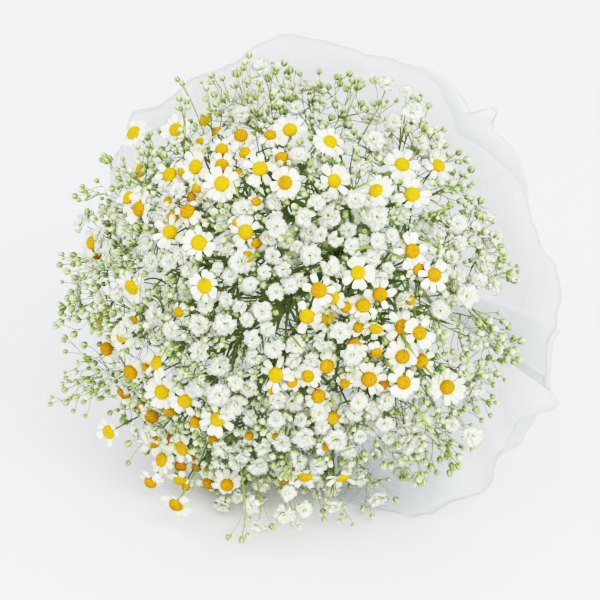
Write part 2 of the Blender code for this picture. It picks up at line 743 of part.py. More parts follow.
def floret_mesh(floret, stalk):
    """A crumpled ball: a ring of eight that goes in and out, an upper ring of four, a low top."""
    place, normal, size = floret["place"], floret["normal"], floret["radius"]
    x, y = side_frame(normal)
    turn = floret["roll"] + np.arange(8) * math.pi / 4
    odd = np.arange(8) % 2
    out = size * np.where(odd, 0.80, 1.0)
    rise = size * np.where(odd, 0.36, -0.12)
    wide = place + out[:, None] * (np.cos(turn)[:, None] * x + np.sin(turn)[:, None] * y)
    wide = wide + rise[:, None] * normal
    upper = ring_points(place + normal * size * 0.86, x, y, size * 0.52, 4, floret["roll"] + 0.1)
    apex = place + normal * size * 0.5
    points, faces, tags, low = start_flower(floret, stalk, wide, WHITE)
    up_row, top = low + 8, low + 12
    points += [upper, apex[None]]
    for k in range(4):
        a, b, c = low + 2 * k, low + 2 * k + 1, low + (2 * k + 2) % 8
        u, w = up_row + k, up_row + (k + 1) % 4
        faces += [(u, a, b), (u, b, w), (w, b, c), (top, u, w)]
        tags += [WHITE] * 4
    return np.vstack(points), faces, tags


def bud_mesh(bud, stalk):
    """A five-sided bud, widest below its middle, on its twig."""
    place, normal, size = bud["place"], bud["normal"], bud["radius"]
    x, y = side_frame(normal)
    wide = ring_points(place, x, y, size, 5, bud["roll"])
    points, faces, tags, low = start_flower(bud, stalk, wide, BUD)
    points += [(place + normal * size)[None]]
    top = low + 5
    found = fan(top, low, 5, True)
    return np.vstack(points), faces + found, tags + [BUD] * len(found)


def leaf_mesh(leaf):
    """A narrow leaf of two lengths, with a keel below and a ridge above, pointed at both ends."""
    root, middle, tip = leaf["path"]
    flat = unit(leaf["flat"])
    along = unit(tip - root)
    face = unit(np.cross(along, flat))
    waist = [middle - flat * LEAF_HALF_WIDTH, middle - face * LEAF_HALF_THICK]
    waist += [middle + flat * LEAF_HALF_WIDTH, middle + face * LEAF_HALF_THICK]
    points = np.array([root, *waist, tip])
    faces = fan(0, 1, 4, False) + fan(5, 1, 4, True)
    return points, faces, [STEM] * len(faces)


def mesh_object(name, points, faces, tags, materials):
    mesh = bpy.data.meshes.new(name)
    mesh.from_pydata([tuple(map(float, point)) for point in points], [], faces)
    for slot in materials:
        mesh.materials.append(slot)
    mesh.polygons.foreach_set("material_index", np.array(tags, np.int32))
    mesh.update()
    return bpy.data.objects.new(name, mesh)


def open_edges(mesh):
    """How many edges of a mesh don't join exactly two faces."""
    count = np.zeros(len(mesh.edges), int)
    for loop in mesh.loops:
        count[loop.edge_index] += 1
    return int((count != 2).sum())


def keep_outer_shell(mesh):
    """Drops all but the largest closed shell: a pocket that a union sealed, or a loose scrap."""
    made = bmesh.new()
    made.from_mesh(mesh)
    left = set(made.verts)
    shells = []
    while left:
        shell = [left.pop()]
        for vertex in shell:
            for edge in vertex.link_edges:
                other = edge.other_vert(vertex)
                if other in left:
                    left.remove(other)
                    shell.append(other)
        shells.append(shell)
    shells.sort(key=len)
    spare = [vertex for shell in shells[:-1] for vertex in shell]
    bmesh.ops.delete(made, geom=spare, context="VERTS")
    made.to_mesh(mesh)
    made.free()


def fuse(base, pieces):
    """Joins the pieces to the base object with one Boolean union, and removes them."""
    scene = bpy.context.scene.collection
    scene.objects.link(base)
    group = bpy.data.collections.new(base.name + "_pieces")
    scene.children.link(group)
    for piece in pieces:
        group.objects.link(piece)
    for solver in ("EXACT", "MANIFOLD"):
        union = base.modifiers.new("union", "BOOLEAN")
        union.operation = "UNION"
        union.operand_type = "COLLECTION"
        union.collection = group
        union.solver = solver
        bpy.context.view_layer.update()
        graph = bpy.context.evaluated_depsgraph_get()
        joined = bpy.data.meshes.new_from_object(base.evaluated_get(graph))
        base.modifiers.remove(union)
        if not open_edges(joined):
            break
    keep_outer_shell(joined)
    base.data = joined
    joined.name = base.name
    for piece in pieces:
        bpy.data.objects.remove(piece)
    bpy.data.collections.remove(group)
    return base


def joined_stalk(*stretches):
    """One stalk made of stretches of (path, radius or radii) that follow each other."""
    paths, radii = [], []
    for path, radius in stretches:
        skip = 1 if paths else 0
        paths.append(path[skip:])
        radii.append(np.broadcast_to(radius, len(path))[skip:])
    return np.vstack(paths), np.concatenate(radii)


def spray_meshes(stem):
    """The meshes of a spray: the first goes on from the cut end of the stem to a flower."""
    radii = np.interp(
        stem["path"][:, 2],
        [0, STEM_BENDS[0], stem["top"]],
        [STEM_RADIUS, STEM_UPPER_RADIUS, STEM_TOP_RADIUS],
    )
    main = (stem["path"], radii)
    first, others = [], []
    for daisy in stem["daisies"]:
        own = (daisy["path"], STALK_RADIUS)
        if daisy["leads"]:
            first.append(daisy_mesh(daisy, joined_stalk(main, own)))
        else:
            others.append(daisy_mesh(daisy, joined_stalk(own)))
    for fork in stem["forks"]:
        branch = (fork["path"], STALK_RADIUS)
        for i, ball in enumerate(fork["balls"]):
            make = floret_mesh if ball["kind"] == "floret" else bud_mesh
            own = (ball["path"], TWIG_RADIUS)
            if i:
                others.append(make(ball, joined_stalk(own)))
            elif fork["leads"]:
                first.append(make(ball, joined_stalk(main, branch, own)))
            else:
                others.append(make(ball, joined_stalk(branch, own)))
    others += [leaf_mesh(leaf) for leaf in stem["leaves"]]
    return (first or [tube(*main, 3)]) + others


def build_spray(name, stem, materials):
    """One flowering stem, with its stalks, leaves, blooms and buds, as one closed body."""
    base, *pieces = [
        mesh_object(f"{name}_{i}", to_world(np.vstack(points)), faces, tags, materials)
        for i, (points, faces, tags) in enumerate(spray_meshes(stem))
    ]
    base.name = name
    return fuse(base, pieces)


def build_wrap(slot):
    """The sheet as two skins joined round its edge, laid flat where it meets the table."""
    columns = WRAP_STEPS_ROUND + WRAP_LAP_STEPS + 1
    turn = np.arange(columns) * 2 * math.pi / WRAP_STEPS_ROUND
    angle = (WRAP_SEAM + turn)[:, None]
    skirt = WRAP_SKIRT_END + np.array(WRAP_SKIRT_ROWS) * (-WRAP_HELD - WRAP_SKIRT_END)
    cone = WRAP_HELD + np.array(WRAP_CONE_ROWS) * (rim_reach(angle) - WRAP_HELD)
    held = np.full_like(angle, -WRAP_HELD)
    s = np.hstack([np.tile(skirt, (columns, 1)), held, cone])
    lap = WRAP_LAP_GAP * (turn / (2 * math.pi))[:, None]
    skins = []
    for wall in (0, WRAP_WALL):
        radius = wrap_radius(angle, s) + lap - wall
        skin = to_world(np.stack([radius * np.cos(angle), radius * np.sin(angle), s], axis=-1))
        skin[..., 2] = np.maximum(skin[..., 2], wall)
        skins.append(skin.reshape(-1, 3))
    rows = s.shape[1]
    inner = columns * rows
    faces = []
    for i in range(columns - 1):
        for j in range(rows - 1):
            a, b = i * rows + j, (i + 1) * rows + j
            quad = (a, b, b + 1, a + 1)
            split = [(quad[0], quad[1], quad[2]), (quad[0], quad[2], quad[3])]
            faces += split
            faces += [tuple(inner + k for k in reversed(face)) for face in split]
    edge = [i * rows for i in range(columns)]
    edge += [(columns - 1) * rows + j for j in range(1, rows)]
    edge += [i * rows + rows - 1 for i in range(columns - 2, -1, -1)]
    edge += [j for j in range(rows - 2, 0, -1)]
    for a, b in zip(edge, edge[1:] + edge[:1]):
        faces += [(b, a, inner + a), (b, inner + a, inner + b)]
    points = np.vstack(skins)
    made = mesh_object("wrap_sheet", points, faces, [0] * len(faces), [slot])
    bpy.context.scene.collection.objects.link(made)
    return made


def band(name, inner, wall, width, sides, slot):
    """A flat ring round the bunch at the tie."""
    x, y, axis = np.eye(3)
    points, faces = [], []
    for radius, side in ((inner, -1), (inner + wall, -1), (inner + wall, 1), (inner, 1)):
        points.append(ring_points(axis * side * width / 2, x, y, radius, sides))
    for k in range(4):
        faces += loop_band(k * sides, (k + 1) % 4 * sides, sides)
    made = mesh_object(name, to_world(np.vstack(points)), faces, [0] * len(faces), [slot])
    bpy.context.scene.collection.objects.link(made)
    return made


def build_knot(outer, slot):
    """A small flat knot on top of the ribbon, with two ends that fall to either side."""
    seat = np.array([0, outer + KNOT_GAP, 0])
    foot = np.array([[across, 0, along] for across, along in KNOT_FOOT]) * MM
    top = foot * KNOT_TAPER + [0, KNOT_RISE, 0]
    faces = [(0, 1, 2), (0, 2, 3), (4, 6, 5), (4, 7, 6)]
    faces += [tuple(reversed(face)) for face in loop_band(0, 4, 4)]
    points = to_world(np.vstack([foot, top]) + seat)
    knot = mesh_object("ribbon_knot", points, faces, [0] * len(faces), [slot])
    section = np.array([[0, -1, -1], [0, -1, 1], [0, 1, 1], [0, 1, -1]], float)
    section *= [0, RIBBON_END_WALL / 2, RIBBON_END_HALF]
    last = (len(RIBBON_END) - 1) * 4
    ends = []
    for side in (-1, 1):
        middle = seat + np.array(RIBBON_END) * MM * [side, 1, 1]
        points = to_world((middle[:, None] + section).reshape(-1, 3))
        faces = [(0, 2, 1), (0, 3, 2), (last, last + 1, last + 2), (last, last + 2, last + 3)]
        for row in range(0, last, 4):
            faces += loop_band(row, row + 4, 4)
        if side > 0:
            faces = [tuple(reversed(face)) for face in faces]
        ends.append(mesh_object(f"ribbon_end_{side}", points, faces, [0] * len(faces), [slot]))
    return fuse(knot, ends)


def seat_on_origin(objects):
    """Moves everything so that the middle of the lowest face of its box is the origin."""
    corners = np.array([vertex.co for made in objects for vertex in made.data.vertices])
    low, high = corners.min(axis=0), corners.max(axis=0)
    shift = np.array([(low[0] + high[0]) / 2, (low[1] + high[1]) / 2, low[2]])
    for made in objects:
        points = np.array([vertex.co for vertex in made.data.vertices]) - shift
        made.data.vertices.foreach_set("co", points.ravel())
        made.data.update()


def main():
    for leftover in list(bpy.data.objects):
        bpy.data.objects.remove(leftover)
    plant = plant_materials()
    wrap = material("wrap_tissue", (0.72, 0.78, 0.90), 0.5, 0.6)
    ribbon = material("ribbon_satin", (0.80, 0.83, 0.92), 0.35)
    twine = material("twine", (0.45, 0.36, 0.22), 0.9)

    stems = grow_bouquet()
    made = []
    numbers = {"daisy": 0, "gypsophila": 0}
    for stem in stems:
        numbers[stem["kind"]] += 1
        name = f"{stem['kind']}_spray_{numbers[stem['kind']]:02d}"
        made.append(build_spray(name, stem, plant))
    bind = (BINDING_INSIDE, BINDING_WALL, BINDING_WIDTH, BINDING_SIDES)
    made.append(band("stem_binding", *bind, twine))
    made.append(build_wrap(wrap))
    wrap_outside = WRAP_WAIST + WRAP_WALL + WRAP_LAP_GAP * (1 + WRAP_LAP_STEPS / WRAP_STEPS_ROUND)
    ribbon_inside = (wrap_outside + 0.3 * MM) / math.cos(math.pi / RIBBON_SIDES)
    bind = (ribbon_inside, RIBBON_WALL, RIBBON_WIDTH, RIBBON_SIDES)
    made.append(band("wrap_ribbon", *bind, ribbon))
    made.append(build_knot(ribbon_inside + RIBBON_WALL, ribbon))
    seat_on_origin(made)


main()
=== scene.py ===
import math

import bpy
import numpy as np
from mathutils import Matrix, Vector


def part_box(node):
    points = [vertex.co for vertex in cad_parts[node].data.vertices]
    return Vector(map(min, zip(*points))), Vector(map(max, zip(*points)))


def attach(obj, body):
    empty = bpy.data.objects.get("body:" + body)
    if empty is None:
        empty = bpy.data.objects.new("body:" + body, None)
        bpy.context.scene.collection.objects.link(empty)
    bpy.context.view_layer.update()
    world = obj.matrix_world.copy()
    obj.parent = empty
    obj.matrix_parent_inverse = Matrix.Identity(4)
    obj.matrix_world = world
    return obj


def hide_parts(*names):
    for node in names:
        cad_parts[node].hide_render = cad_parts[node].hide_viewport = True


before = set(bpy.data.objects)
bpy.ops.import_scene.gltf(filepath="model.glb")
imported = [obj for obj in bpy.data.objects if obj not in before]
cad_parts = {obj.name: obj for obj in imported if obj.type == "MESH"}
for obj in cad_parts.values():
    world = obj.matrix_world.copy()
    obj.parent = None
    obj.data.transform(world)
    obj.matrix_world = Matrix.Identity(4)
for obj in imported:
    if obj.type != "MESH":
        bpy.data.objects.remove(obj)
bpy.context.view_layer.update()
mm = 0.001

bunchFacts = {
    "seed": 20,
    "lean": math.radians(17),
    "tieHeight": 60 * mm,
    "squeeze": 0.100,
    "flowerSpread": 0.0042 / mm,
    "tailSpread": 0.0020 / mm,
}

domeSizes = {
    "size": np.array([121, 113, 84]) * mm,
    "centre": np.array([0, 0, 190]) * mm,
}

viewFacts = {
    "turn": math.radians(13),
    "rise": math.radians(28),
    "distance": 0.97,
    "focalPx": 1701,
    "middlePx": (300, 300),
    "headPx": (284, 303),
    "head": np.array([0, 0, 215]) * mm,
}

stemSizes = {
    "rings": ((0, 1), (31.5 * mm, 6), (63 * mm, 12), (94.5 * mm, 18)),
    "placeJitter": 0.6 * mm,
    "heightJitter": 5 * mm,
    "bends": (60 * mm, 118 * mm),
    "radius": 1.6 * mm,
    "upperRadius": 1.47 * mm,
    "topRadius": 0.85 * mm,
    "tops": (222 * mm, 218 * mm, 203 * mm, 180 * mm),
    "cutEnds": -106 * mm,
    "stalkRadius": 0.7 * mm,
    "twigRadius": 0.6 * mm,
}

leafSizes = {
    "length": (30 * mm, 46 * mm),
    "belowTop": (8 * mm, 60 * mm),
    "halfWidth": 1.7 * mm,
}

# The twine lies just outside the outermost stems, which are ringed by a binding of 24 sides in
# the solids
bindingSides = 24
outermostStem = 1.02 * stemSizes["rings"][-1][0] * bunchFacts["squeeze"] + stemSizes["radius"]
bindingInside = (outermostStem + 0.3 * mm) / math.cos(math.pi / bindingSides)
tieSizes = {
    "bindingInside": bindingInside,
    "bindingWidth": 6 * mm,
    "bindingWall": 1.5 * mm,
    "ribbonWidth": 14 * mm,
    "ribbonWall": 1.0 * mm,
    "ribbonSides": 32,
}

# The stems run straight from this far below the middle of the tie to this far above it
stemsHeld = tieSizes["bindingWidth"] / 2 + 3 * mm

wrapSizes = {
    "wall": 0.9 * mm,
    "flare": 116 * mm,
    "flareAt": 185 * mm,
    "skirt": 24 * mm,
    "skirtEnd": -86 * mm,
    "lapGap": 1.7 * mm,
    "waist": tieSizes["bindingInside"] + tieSizes["bindingWall"] + 0.5 * mm,
    "held": tieSizes["ribbonWidth"] / 2 + 2 * mm,
    "lapSteps": 4 / 48,
    "waves": 9,
    "waveHeight": 5.5 * mm,
    "wavesFrom": 12 * mm,
    "wavesGrow": 150 * mm,
    "widerRight": 0.03,
    "sag": 9 * mm,
    "rimDeg": (-180, -150, -110, -70, -35, -5, 40, 90, 118, 155, 180),
    "rimMm": (167, 148, 164, 188, 207, 205, 211, 201, 200, 188, 167),
}

daisySizes = {
    "lookBelow": 50 * mm,
    "disc": 4.5 * mm,
    "petal": 6.3 * mm,
    "cupDeg": (-12, 24),
    "calyx": 3.2 * mm,
    "stalkDrop": 24 * mm,
    "lowestStalk": 92 * mm,
    "leastLeader": 12 * mm,
    "load": 6 * mm,
    "petalsYoung": 7,
    "petalsAmber": 6,
    "sideCount": 5,
}

gypSizes = {
    "floret": 6.0 * mm,
    "bud": 2.0 * mm,
    "forks": 4,
    "forkStep": 9 * mm,
    "forkRise": (10 * mm, 22 * mm),
    "forkSide": (11 * mm, 19 * mm),
    "twigStep": 2.2 * mm,
    "twigLoad": 5 * mm,
    "extraFlorets": 22,
    "extraBuds": 14,
}

room = {
    "touch": 0.4 * mm,
    "floor": 1.6 * mm,
    "wall": 2.2 * mm,
    "rim": 1.5 * mm,
    "sizeJitter": (0.92, 1.06),
    "tries": 140,
    "looser": 0.12,
    "spiral": 2.39996,
}

# Disc centres of the daisies in the 600 x 600 photograph, read off it. The ones in the second
# list are older, with amber discs, the amber partly painted shade.
youngDaisiesPx = (
    (137, 134), (176, 130), (206, 121), (290, 130), (330, 142), (402, 165), (438, 166),
    (141, 171), (170, 175), (196, 167), (222, 184), (260, 169), (334, 181), (376, 191),
    (412, 195), (129, 198), (170, 232), (246, 232), (199, 243), (92, 243), (205, 286),
    (132, 287), (307, 316), (276, 375), (123, 336), (162, 392), (157, 363), (185, 401),
    (218, 419), (109, 432), (181, 480), (305, 476), (342, 477), (376, 328), (358, 273),
)
amberAndShadedDaisiesPx = (
    (241, 136), (285, 184), (188, 212), (140, 209), (319, 290), (380, 294), (402, 328),
    (434, 275), (412, 251), (421, 361), (447, 387), (402, 357), (404, 382), (369, 379),
    (327, 366), (318, 396), (107, 349), (131, 372), (152, 416), (153, 441), (172, 440),
    (147, 477), (209, 483), (229, 485), (178, 503), (284, 478), (423, 334),
)
# The larger double florets, read the same way
floretsPx = (
    (244, 210), (276, 228), (274, 202), (304, 218), (328, 216), (299, 155), (362, 211),
    (378, 216), (403, 214), (420, 227), (458, 224), (153, 316), (198, 325), (198, 352),
    (220, 367), (199, 387), (262, 312), (252, 340), (275, 350), (340, 332), (354, 414),
    (292, 402), (276, 420), (304, 438), (262, 448), (282, 444), (336, 441), (332, 490),
    (334, 508), (260, 500), (258, 528), (224, 510), (286, 518), (358, 476), (404, 458),
    (416, 480), (378, 500), (124, 228), (108, 252), (148, 240), (80, 223), (468, 296),
    (419, 111), (438, 139), (308, 88), (240, 112), (261, 68), (386, 77), (485, 216),
    (467, 372), (472, 437), (310, 255), (330, 400), (240, 262), (225, 325), (352, 355),
    (295, 345), (440, 310), (385, 425), (222, 450), (236, 405), (170, 330), (225, 222),
)
# Buds on long twigs that stand clear of the rest, read the same way
twigBudsPx = (
    (248, 63), (185, 85), (206, 87), (213, 78), (222, 78), (236, 72), (275, 72), (290, 70),
    (173, 108), (170, 121), (123, 165), (119, 179), (112, 188), (104, 212), (352, 80),
    (361, 86), (413, 95), (430, 105), (443, 131), (412, 122), (462, 152), (451, 183),
    (485, 230), (504, 336), (514, 362), (494, 385), (493, 328), (454, 412), (458, 457),
    (457, 466), (423, 482), (442, 420), (60, 265), (65, 390), (250, 538), (515, 350),
)


# Each vector cut to a length of one.
def unit(vectors):
    return vectors / np.linalg.norm(vectors, axis=-1, keepdims=True)


# Angles at even steps once round.
def circle(count):
    return np.arange(count) * 2 * math.pi / count


# Points at a radius and an angle round the axis and a height along it.
def ringed(radius, angle, s):
    return np.stack([radius * np.cos(angle), radius * np.sin(angle), s], axis=-1)


# An angle in degrees from -180 to 180.
def asDegrees(angle):
    return (np.degrees(angle) + 180) % 360 - 180


# Bouquet coordinates to world ones, with the tie over the world's origin.
def toWorld(points):
    p, q, s = np.moveaxis(np.asarray(points, float), -1, 0)
    y = q * math.sin(bunchFacts["lean"]) - s * math.cos(bunchFacts["lean"])
    z = bunchFacts["tieHeight"] + q * math.cos(bunchFacts["lean"]) + s * math.sin(bunchFacts["lean"])
    return np.stack([p, y, z], axis=-1)


# World directions to bouquet ones.
def toBouquet(directions):
    x, y, z = np.moveaxis(np.asarray(directions, float), -1, 0)
    q = y * math.sin(bunchFacts["lean"]) + z * math.cos(bunchFacts["lean"])
    s = z * math.sin(bunchFacts["lean"]) - y * math.cos(bunchFacts["lean"])
    return np.stack([x, q, s], axis=-1)


# The photograph's right, up and back directions in the world.
def viewAxes():
    turn, rise = viewFacts["turn"], viewFacts["rise"]
    back = np.array([math.sin(turn) * math.cos(rise), -math.cos(turn) * math.cos(rise), math.sin(rise)])
    right = np.array([math.cos(turn), math.sin(turn), 0])
    return right, np.cross(back, right), back


# Bouquet direction from the eye through a pixel of the photograph, not yet of length one.
def sightLine(pixel):
    right, up, back = viewAxes()
    across = (pixel[0] - viewFacts["middlePx"][0]) / viewFacts["focalPx"]
    down = (pixel[1] - viewFacts["middlePx"][1]) / viewFacts["focalPx"]
    return toBouquet(across * right - down * up - back)


def eyePlace():
    return viewFacts["head"] - sightLine(viewFacts["headPx"]) * viewFacts["distance"]


# Where a pixel's sight line meets the dome grown by a factor, or passes nearest to it.
def onDome(pixel, grow):
    eye, line = eyePlace(), sightLine(pixel)
    start = (eye - domeSizes["centre"]) / (domeSizes["size"] * grow)
    step = line / (domeSizes["size"] * grow)
    a, b, c = step @ step, start @ step, start @ start - 1
    return eye + line * (-b - math.sqrt(max(b * b - a * c, 0))) / a


# A point of the dome at an angle round the axis and a height from its rim (0) to front (1).
def domePoint(angle, lift, grow):
    flat = math.sqrt(max(1 - lift * lift, 0))
    return domeSizes["centre"] + domeSizes["size"] * grow * np.array(
        [flat * math.cos(angle), flat * math.sin(angle), lift]
    )


# Outward direction of the dome near a point, turned partly towards its front.
def domeNormal(point):
    return unit(unit((point - domeSizes["centre"]) / domeSizes["size"]**2) * 0.7 + np.array([0, 0, 0.3]))


# How far the stems stand apart along the axis, as a share of their places in the head.
def spread(s):
    rate = np.where(np.asarray(s) > 0, bunchFacts["flowerSpread"], bunchFacts["tailSpread"])
    return np.sqrt(bunchFacts["squeeze"]**2 + (rate * s) ** 2)


# A point of the stem whose place in the head is (p, q).
def onStem(place, s):
    share = spread(s)
    return np.array([place[0] * share, place[1] * share, s])


# How far forward the wrap's rim comes at an angle round the axis.
def rimReach(angle):
    return np.interp(asDegrees(angle), wrapSizes["rimDeg"], wrapSizes["rimMm"]) * mm


# The wrap's soft waves round the axis, a fast and a slow one, and the share of the underside.
def wrapWaves(angle):
    wave = np.sin(wrapSizes["waves"] * angle + 1.3 * np.sin(2 * angle)) + 0.5 * np.sin(4 * angle + 1)
    return wave, np.maximum(-np.sin(angle), 0) ** 6


# Outer radius of the wrap: a flared cone with soft waves that grow away from the waist, and
# that sags, with flatter waves, along the line where it meets the table.
def wrapRadius(angle, s):
    s = np.asarray(s, float)
    held = wrapSizes["held"]
    cone = wrapSizes["flare"] * (np.maximum(s - held, 0) / (wrapSizes["flareAt"] - held)) ** 1.05
    skirt = wrapSizes["skirt"] * (np.maximum(-held - s, 0) / (-held - wrapSizes["skirtEnd"])) ** 1.2
    wave, low = wrapWaves(angle)
    reach = np.clip((np.abs(s) - wrapSizes["wavesFrom"]) / wrapSizes["wavesGrow"], 0, 1)
    wider = 1 + wrapSizes["widerRight"] * np.cos(angle) * reach
    soft = (wrapSizes["waveHeight"] * wave * (1 - 0.85 * low) + wrapSizes["sag"] * low) * reach
    return (wrapSizes["waist"] + wrapSizes["wall"] + cone + skirt) * wider + soft


# Points at even steps along cubic curves, each given by its four control points.
def bezier(curve, count):
    a, b, c, d = np.moveaxis(np.asarray(curve)[..., None, :], -3, 0)
    t = np.linspace(0, 1, count)[:, None]
    return (1 - t) ** 3 * a + 3 * (1 - t) ** 2 * t * b + 3 * (1 - t) * t * t * c + t**3 * d


# Two directions square to an axis and to each other.
def sideFrame(axis):
    helper = np.array([0, 1, 0]) if abs(axis[1]) < 0.9 else np.array([1, 0, 0])
    x = unit(np.cross(helper, axis))
    return x, np.cross(axis, x)


# The place on a stem at a height, and the stem's direction there.
def stemAt(stem, height):
    root = onStem(stem["place"], height)
    return root, unit(onStem(stem["place"], height + mm) - root)


# One direction square to an axis, at random.
def sideway(axis, rng):
    x, y = sideFrame(axis)
    turn = rng.uniform(0, 2 * math.pi)
    return math.cos(turn) * x + math.sin(turn) * y


# Distance between every segment a and every segment b, as an array.
def segmentGaps(a0, a1, b0, b1):
    u = (a1 - a0)[:, None]
    v = (b1 - b0)[None]
    w = a0[:, None] - b0[None]
    uu, vv, uv = (u * u).sum(-1), (v * v).sum(-1), (u * v).sum(-1)
    uw, vw = (u * w).sum(-1), (v * w).sum(-1)
    tiny = 1e-12
    s = np.clip((uv * vw - vv * uw) / np.maximum(uu * vv - uv * uv, tiny), 0, 1)
    t = np.clip((uv * s + vw) / np.maximum(vv, tiny), 0, 1)
    s = np.clip((uv * t - uw) / np.maximum(uu, tiny), 0, 1)
    return np.linalg.norm(w + s[..., None] * u - t[..., None] * v, axis=-1)


# Whether balls round these points all clear the floor and the wrap.
def roomFor(points, around):
    angle = np.arctan2(points[:, 1], points[:, 0])
    wall = wrapRadius(angle, points[:, 2]) - wrapSizes["wall"] - room["wall"]
    past = np.hypot(points[:, 0], points[:, 1]) + around > wall
    past &= points[:, 2] - around < rimReach(angle) + room["rim"]
    return not (past | (toWorld(points)[:, 2] - around < room["floor"])).any()


# Capsules that stand for everything placed so far: ends, radius, owner, and if a head.
class Crowd:

    def __init__(self):
        self.start = np.zeros((0, 3))
        self.end = np.zeros((0, 3))
        self.radius = np.zeros(0)
        self.owner = np.zeros(0, int)
        self.head = np.zeros(0, bool)

    def add(self, owner, capsules):
        start, end, radius, head = capsules
        self.start = np.vstack([self.start, start])
        self.end = np.vstack([self.end, end])
        self.radius = np.append(self.radius, radius)
        self.owner = np.append(self.owner, np.full(len(radius), owner))
        self.head = np.append(self.head, head)

    # Whether the capsules clear the floor, the wrap, other sprays and their own heads.
    def free(self, owner, capsules):
        start, end, radius, head = capsules
        if not roomFor(np.vstack([start, (start + end) / 2, end]), np.tile(radius, 3)):
            return False
        gaps = segmentGaps(start, end, self.start, self.end)
        gaps = gaps - radius[:, None] - self.radius[None]
        others = gaps[:, self.owner != owner]
        if others.size and others.min() < room["touch"]:
            return False
        heads = gaps[np.ix_(head, (self.owner == owner) & self.head)]
        return not heads.size or heads.min() > 0


def pathCapsules(path, radius):
    count = len(path) - 1
    return path[:-1], path[1:], np.full(count, radius), np.zeros(count, bool)


# The petals' midlines, the disc and the stalk.
def daisyCapsules(daisy):
    x, y = sideFrame(daisy["normal"])
    count = daisy["petals"]
    turn = daisy["roll"] + (np.arange(count) + 0.5) * 2 * math.pi / count
    outward = np.cos(turn)[:, None] * x + np.sin(turn)[:, None] * y
    rise = daisy["normal"] * math.sin(daisy["cup"])
    root = daisy["disc"] * math.cos(math.pi / count)
    base = daisy["place"] + outward * root
    tip = base + (outward * math.cos(daisy["cup"]) + rise) * (daisy["petal"] - 1.3 * mm)
    half = daisy["disc"] * math.sin(math.pi / count)
    disc = daisy["place"] + daisy["normal"] * np.array([[-0.6], [0.8]]) * mm
    start, end, radius, head = pathCapsules(daisy["path"], stemSizes["stalkRadius"])
    return (
        np.vstack([base, disc[:1], start]),
        np.vstack([tip, disc[1:], end]),
        np.concatenate([np.full(count, half), [daisy["disc"] * 0.95], radius]),
        np.concatenate([np.ones(count + 1, bool), head]),
    )


# A floret or bud as one ball, with its stalk.
def ballCapsules(ball):
    start, end, radius, head = pathCapsules(ball["path"], stemSizes["twigRadius"])
    return (
        np.vstack([ball["place"], start]),
        np.vstack([ball["place"], end]),
        np.append(ball["radius"] * 1.03, radius),
        np.append(True, head),
    )


# The main stems, on rings, taking turns between the two kinds of flower.
def growStems(rng):
    stems = []
    for ring, (radius, count) in enumerate(stemSizes["rings"]):
        for i in range(count):
            angle = 2 * math.pi * (i + 0.5 * (ring % 2)) / count + 0.12 * ring
            place = radius * np.array([math.cos(angle), math.sin(angle)])
            place = place + rng.uniform(-1, 1, 2) * stemSizes["placeJitter"]
            top = stemSizes["tops"][ring] + rng.uniform(-1, 1) * stemSizes["heightJitter"]
            cut = stemSizes["cutEnds"] + rng.uniform(-1, 1) * stemSizes["heightJitter"]
            heights = np.array([cut, -stemsHeld, stemsHeld, *stemSizes["bends"], top])
            stems.append({
                "kind": "gypsophila" if (i + ring) % 2 == 0 else "daisy", "place": place, "top": top,
                "path": np.array([onStem(place, s) for s in heights]),
                "daisies": [], "forks": [], "leaves": [],
            })
    return stems


# A curved stalk that leaves partly along its stem and arrives square to the flower.
def stalkCurve(root, along, end, normal, wobble):
    length = np.linalg.norm(end - root)
    first = root + unit(along + unit(end - root) * 0.7) * length * 0.36 + wobble
    last = end - normal * length * 0.34 - wobble * 0.5
    return np.array([root, first, last, end])


# The daisy stem that passes nearest under a point, with a cost for those already full.
def nearestStem(stems, point):
    best = None
    for index, stem in enumerate(stems):
        if stem["kind"] != "daisy":
            continue
        under = onStem(stem["place"], min(point[2] - daisySizes["lookBelow"], stem["top"]))
        cost = np.hypot(*(point - under)[:2]) + daisySizes["load"] * len(stem["daisies"])
        if best is None or cost < best[0]:
            best = (cost, index)
    return best[1]


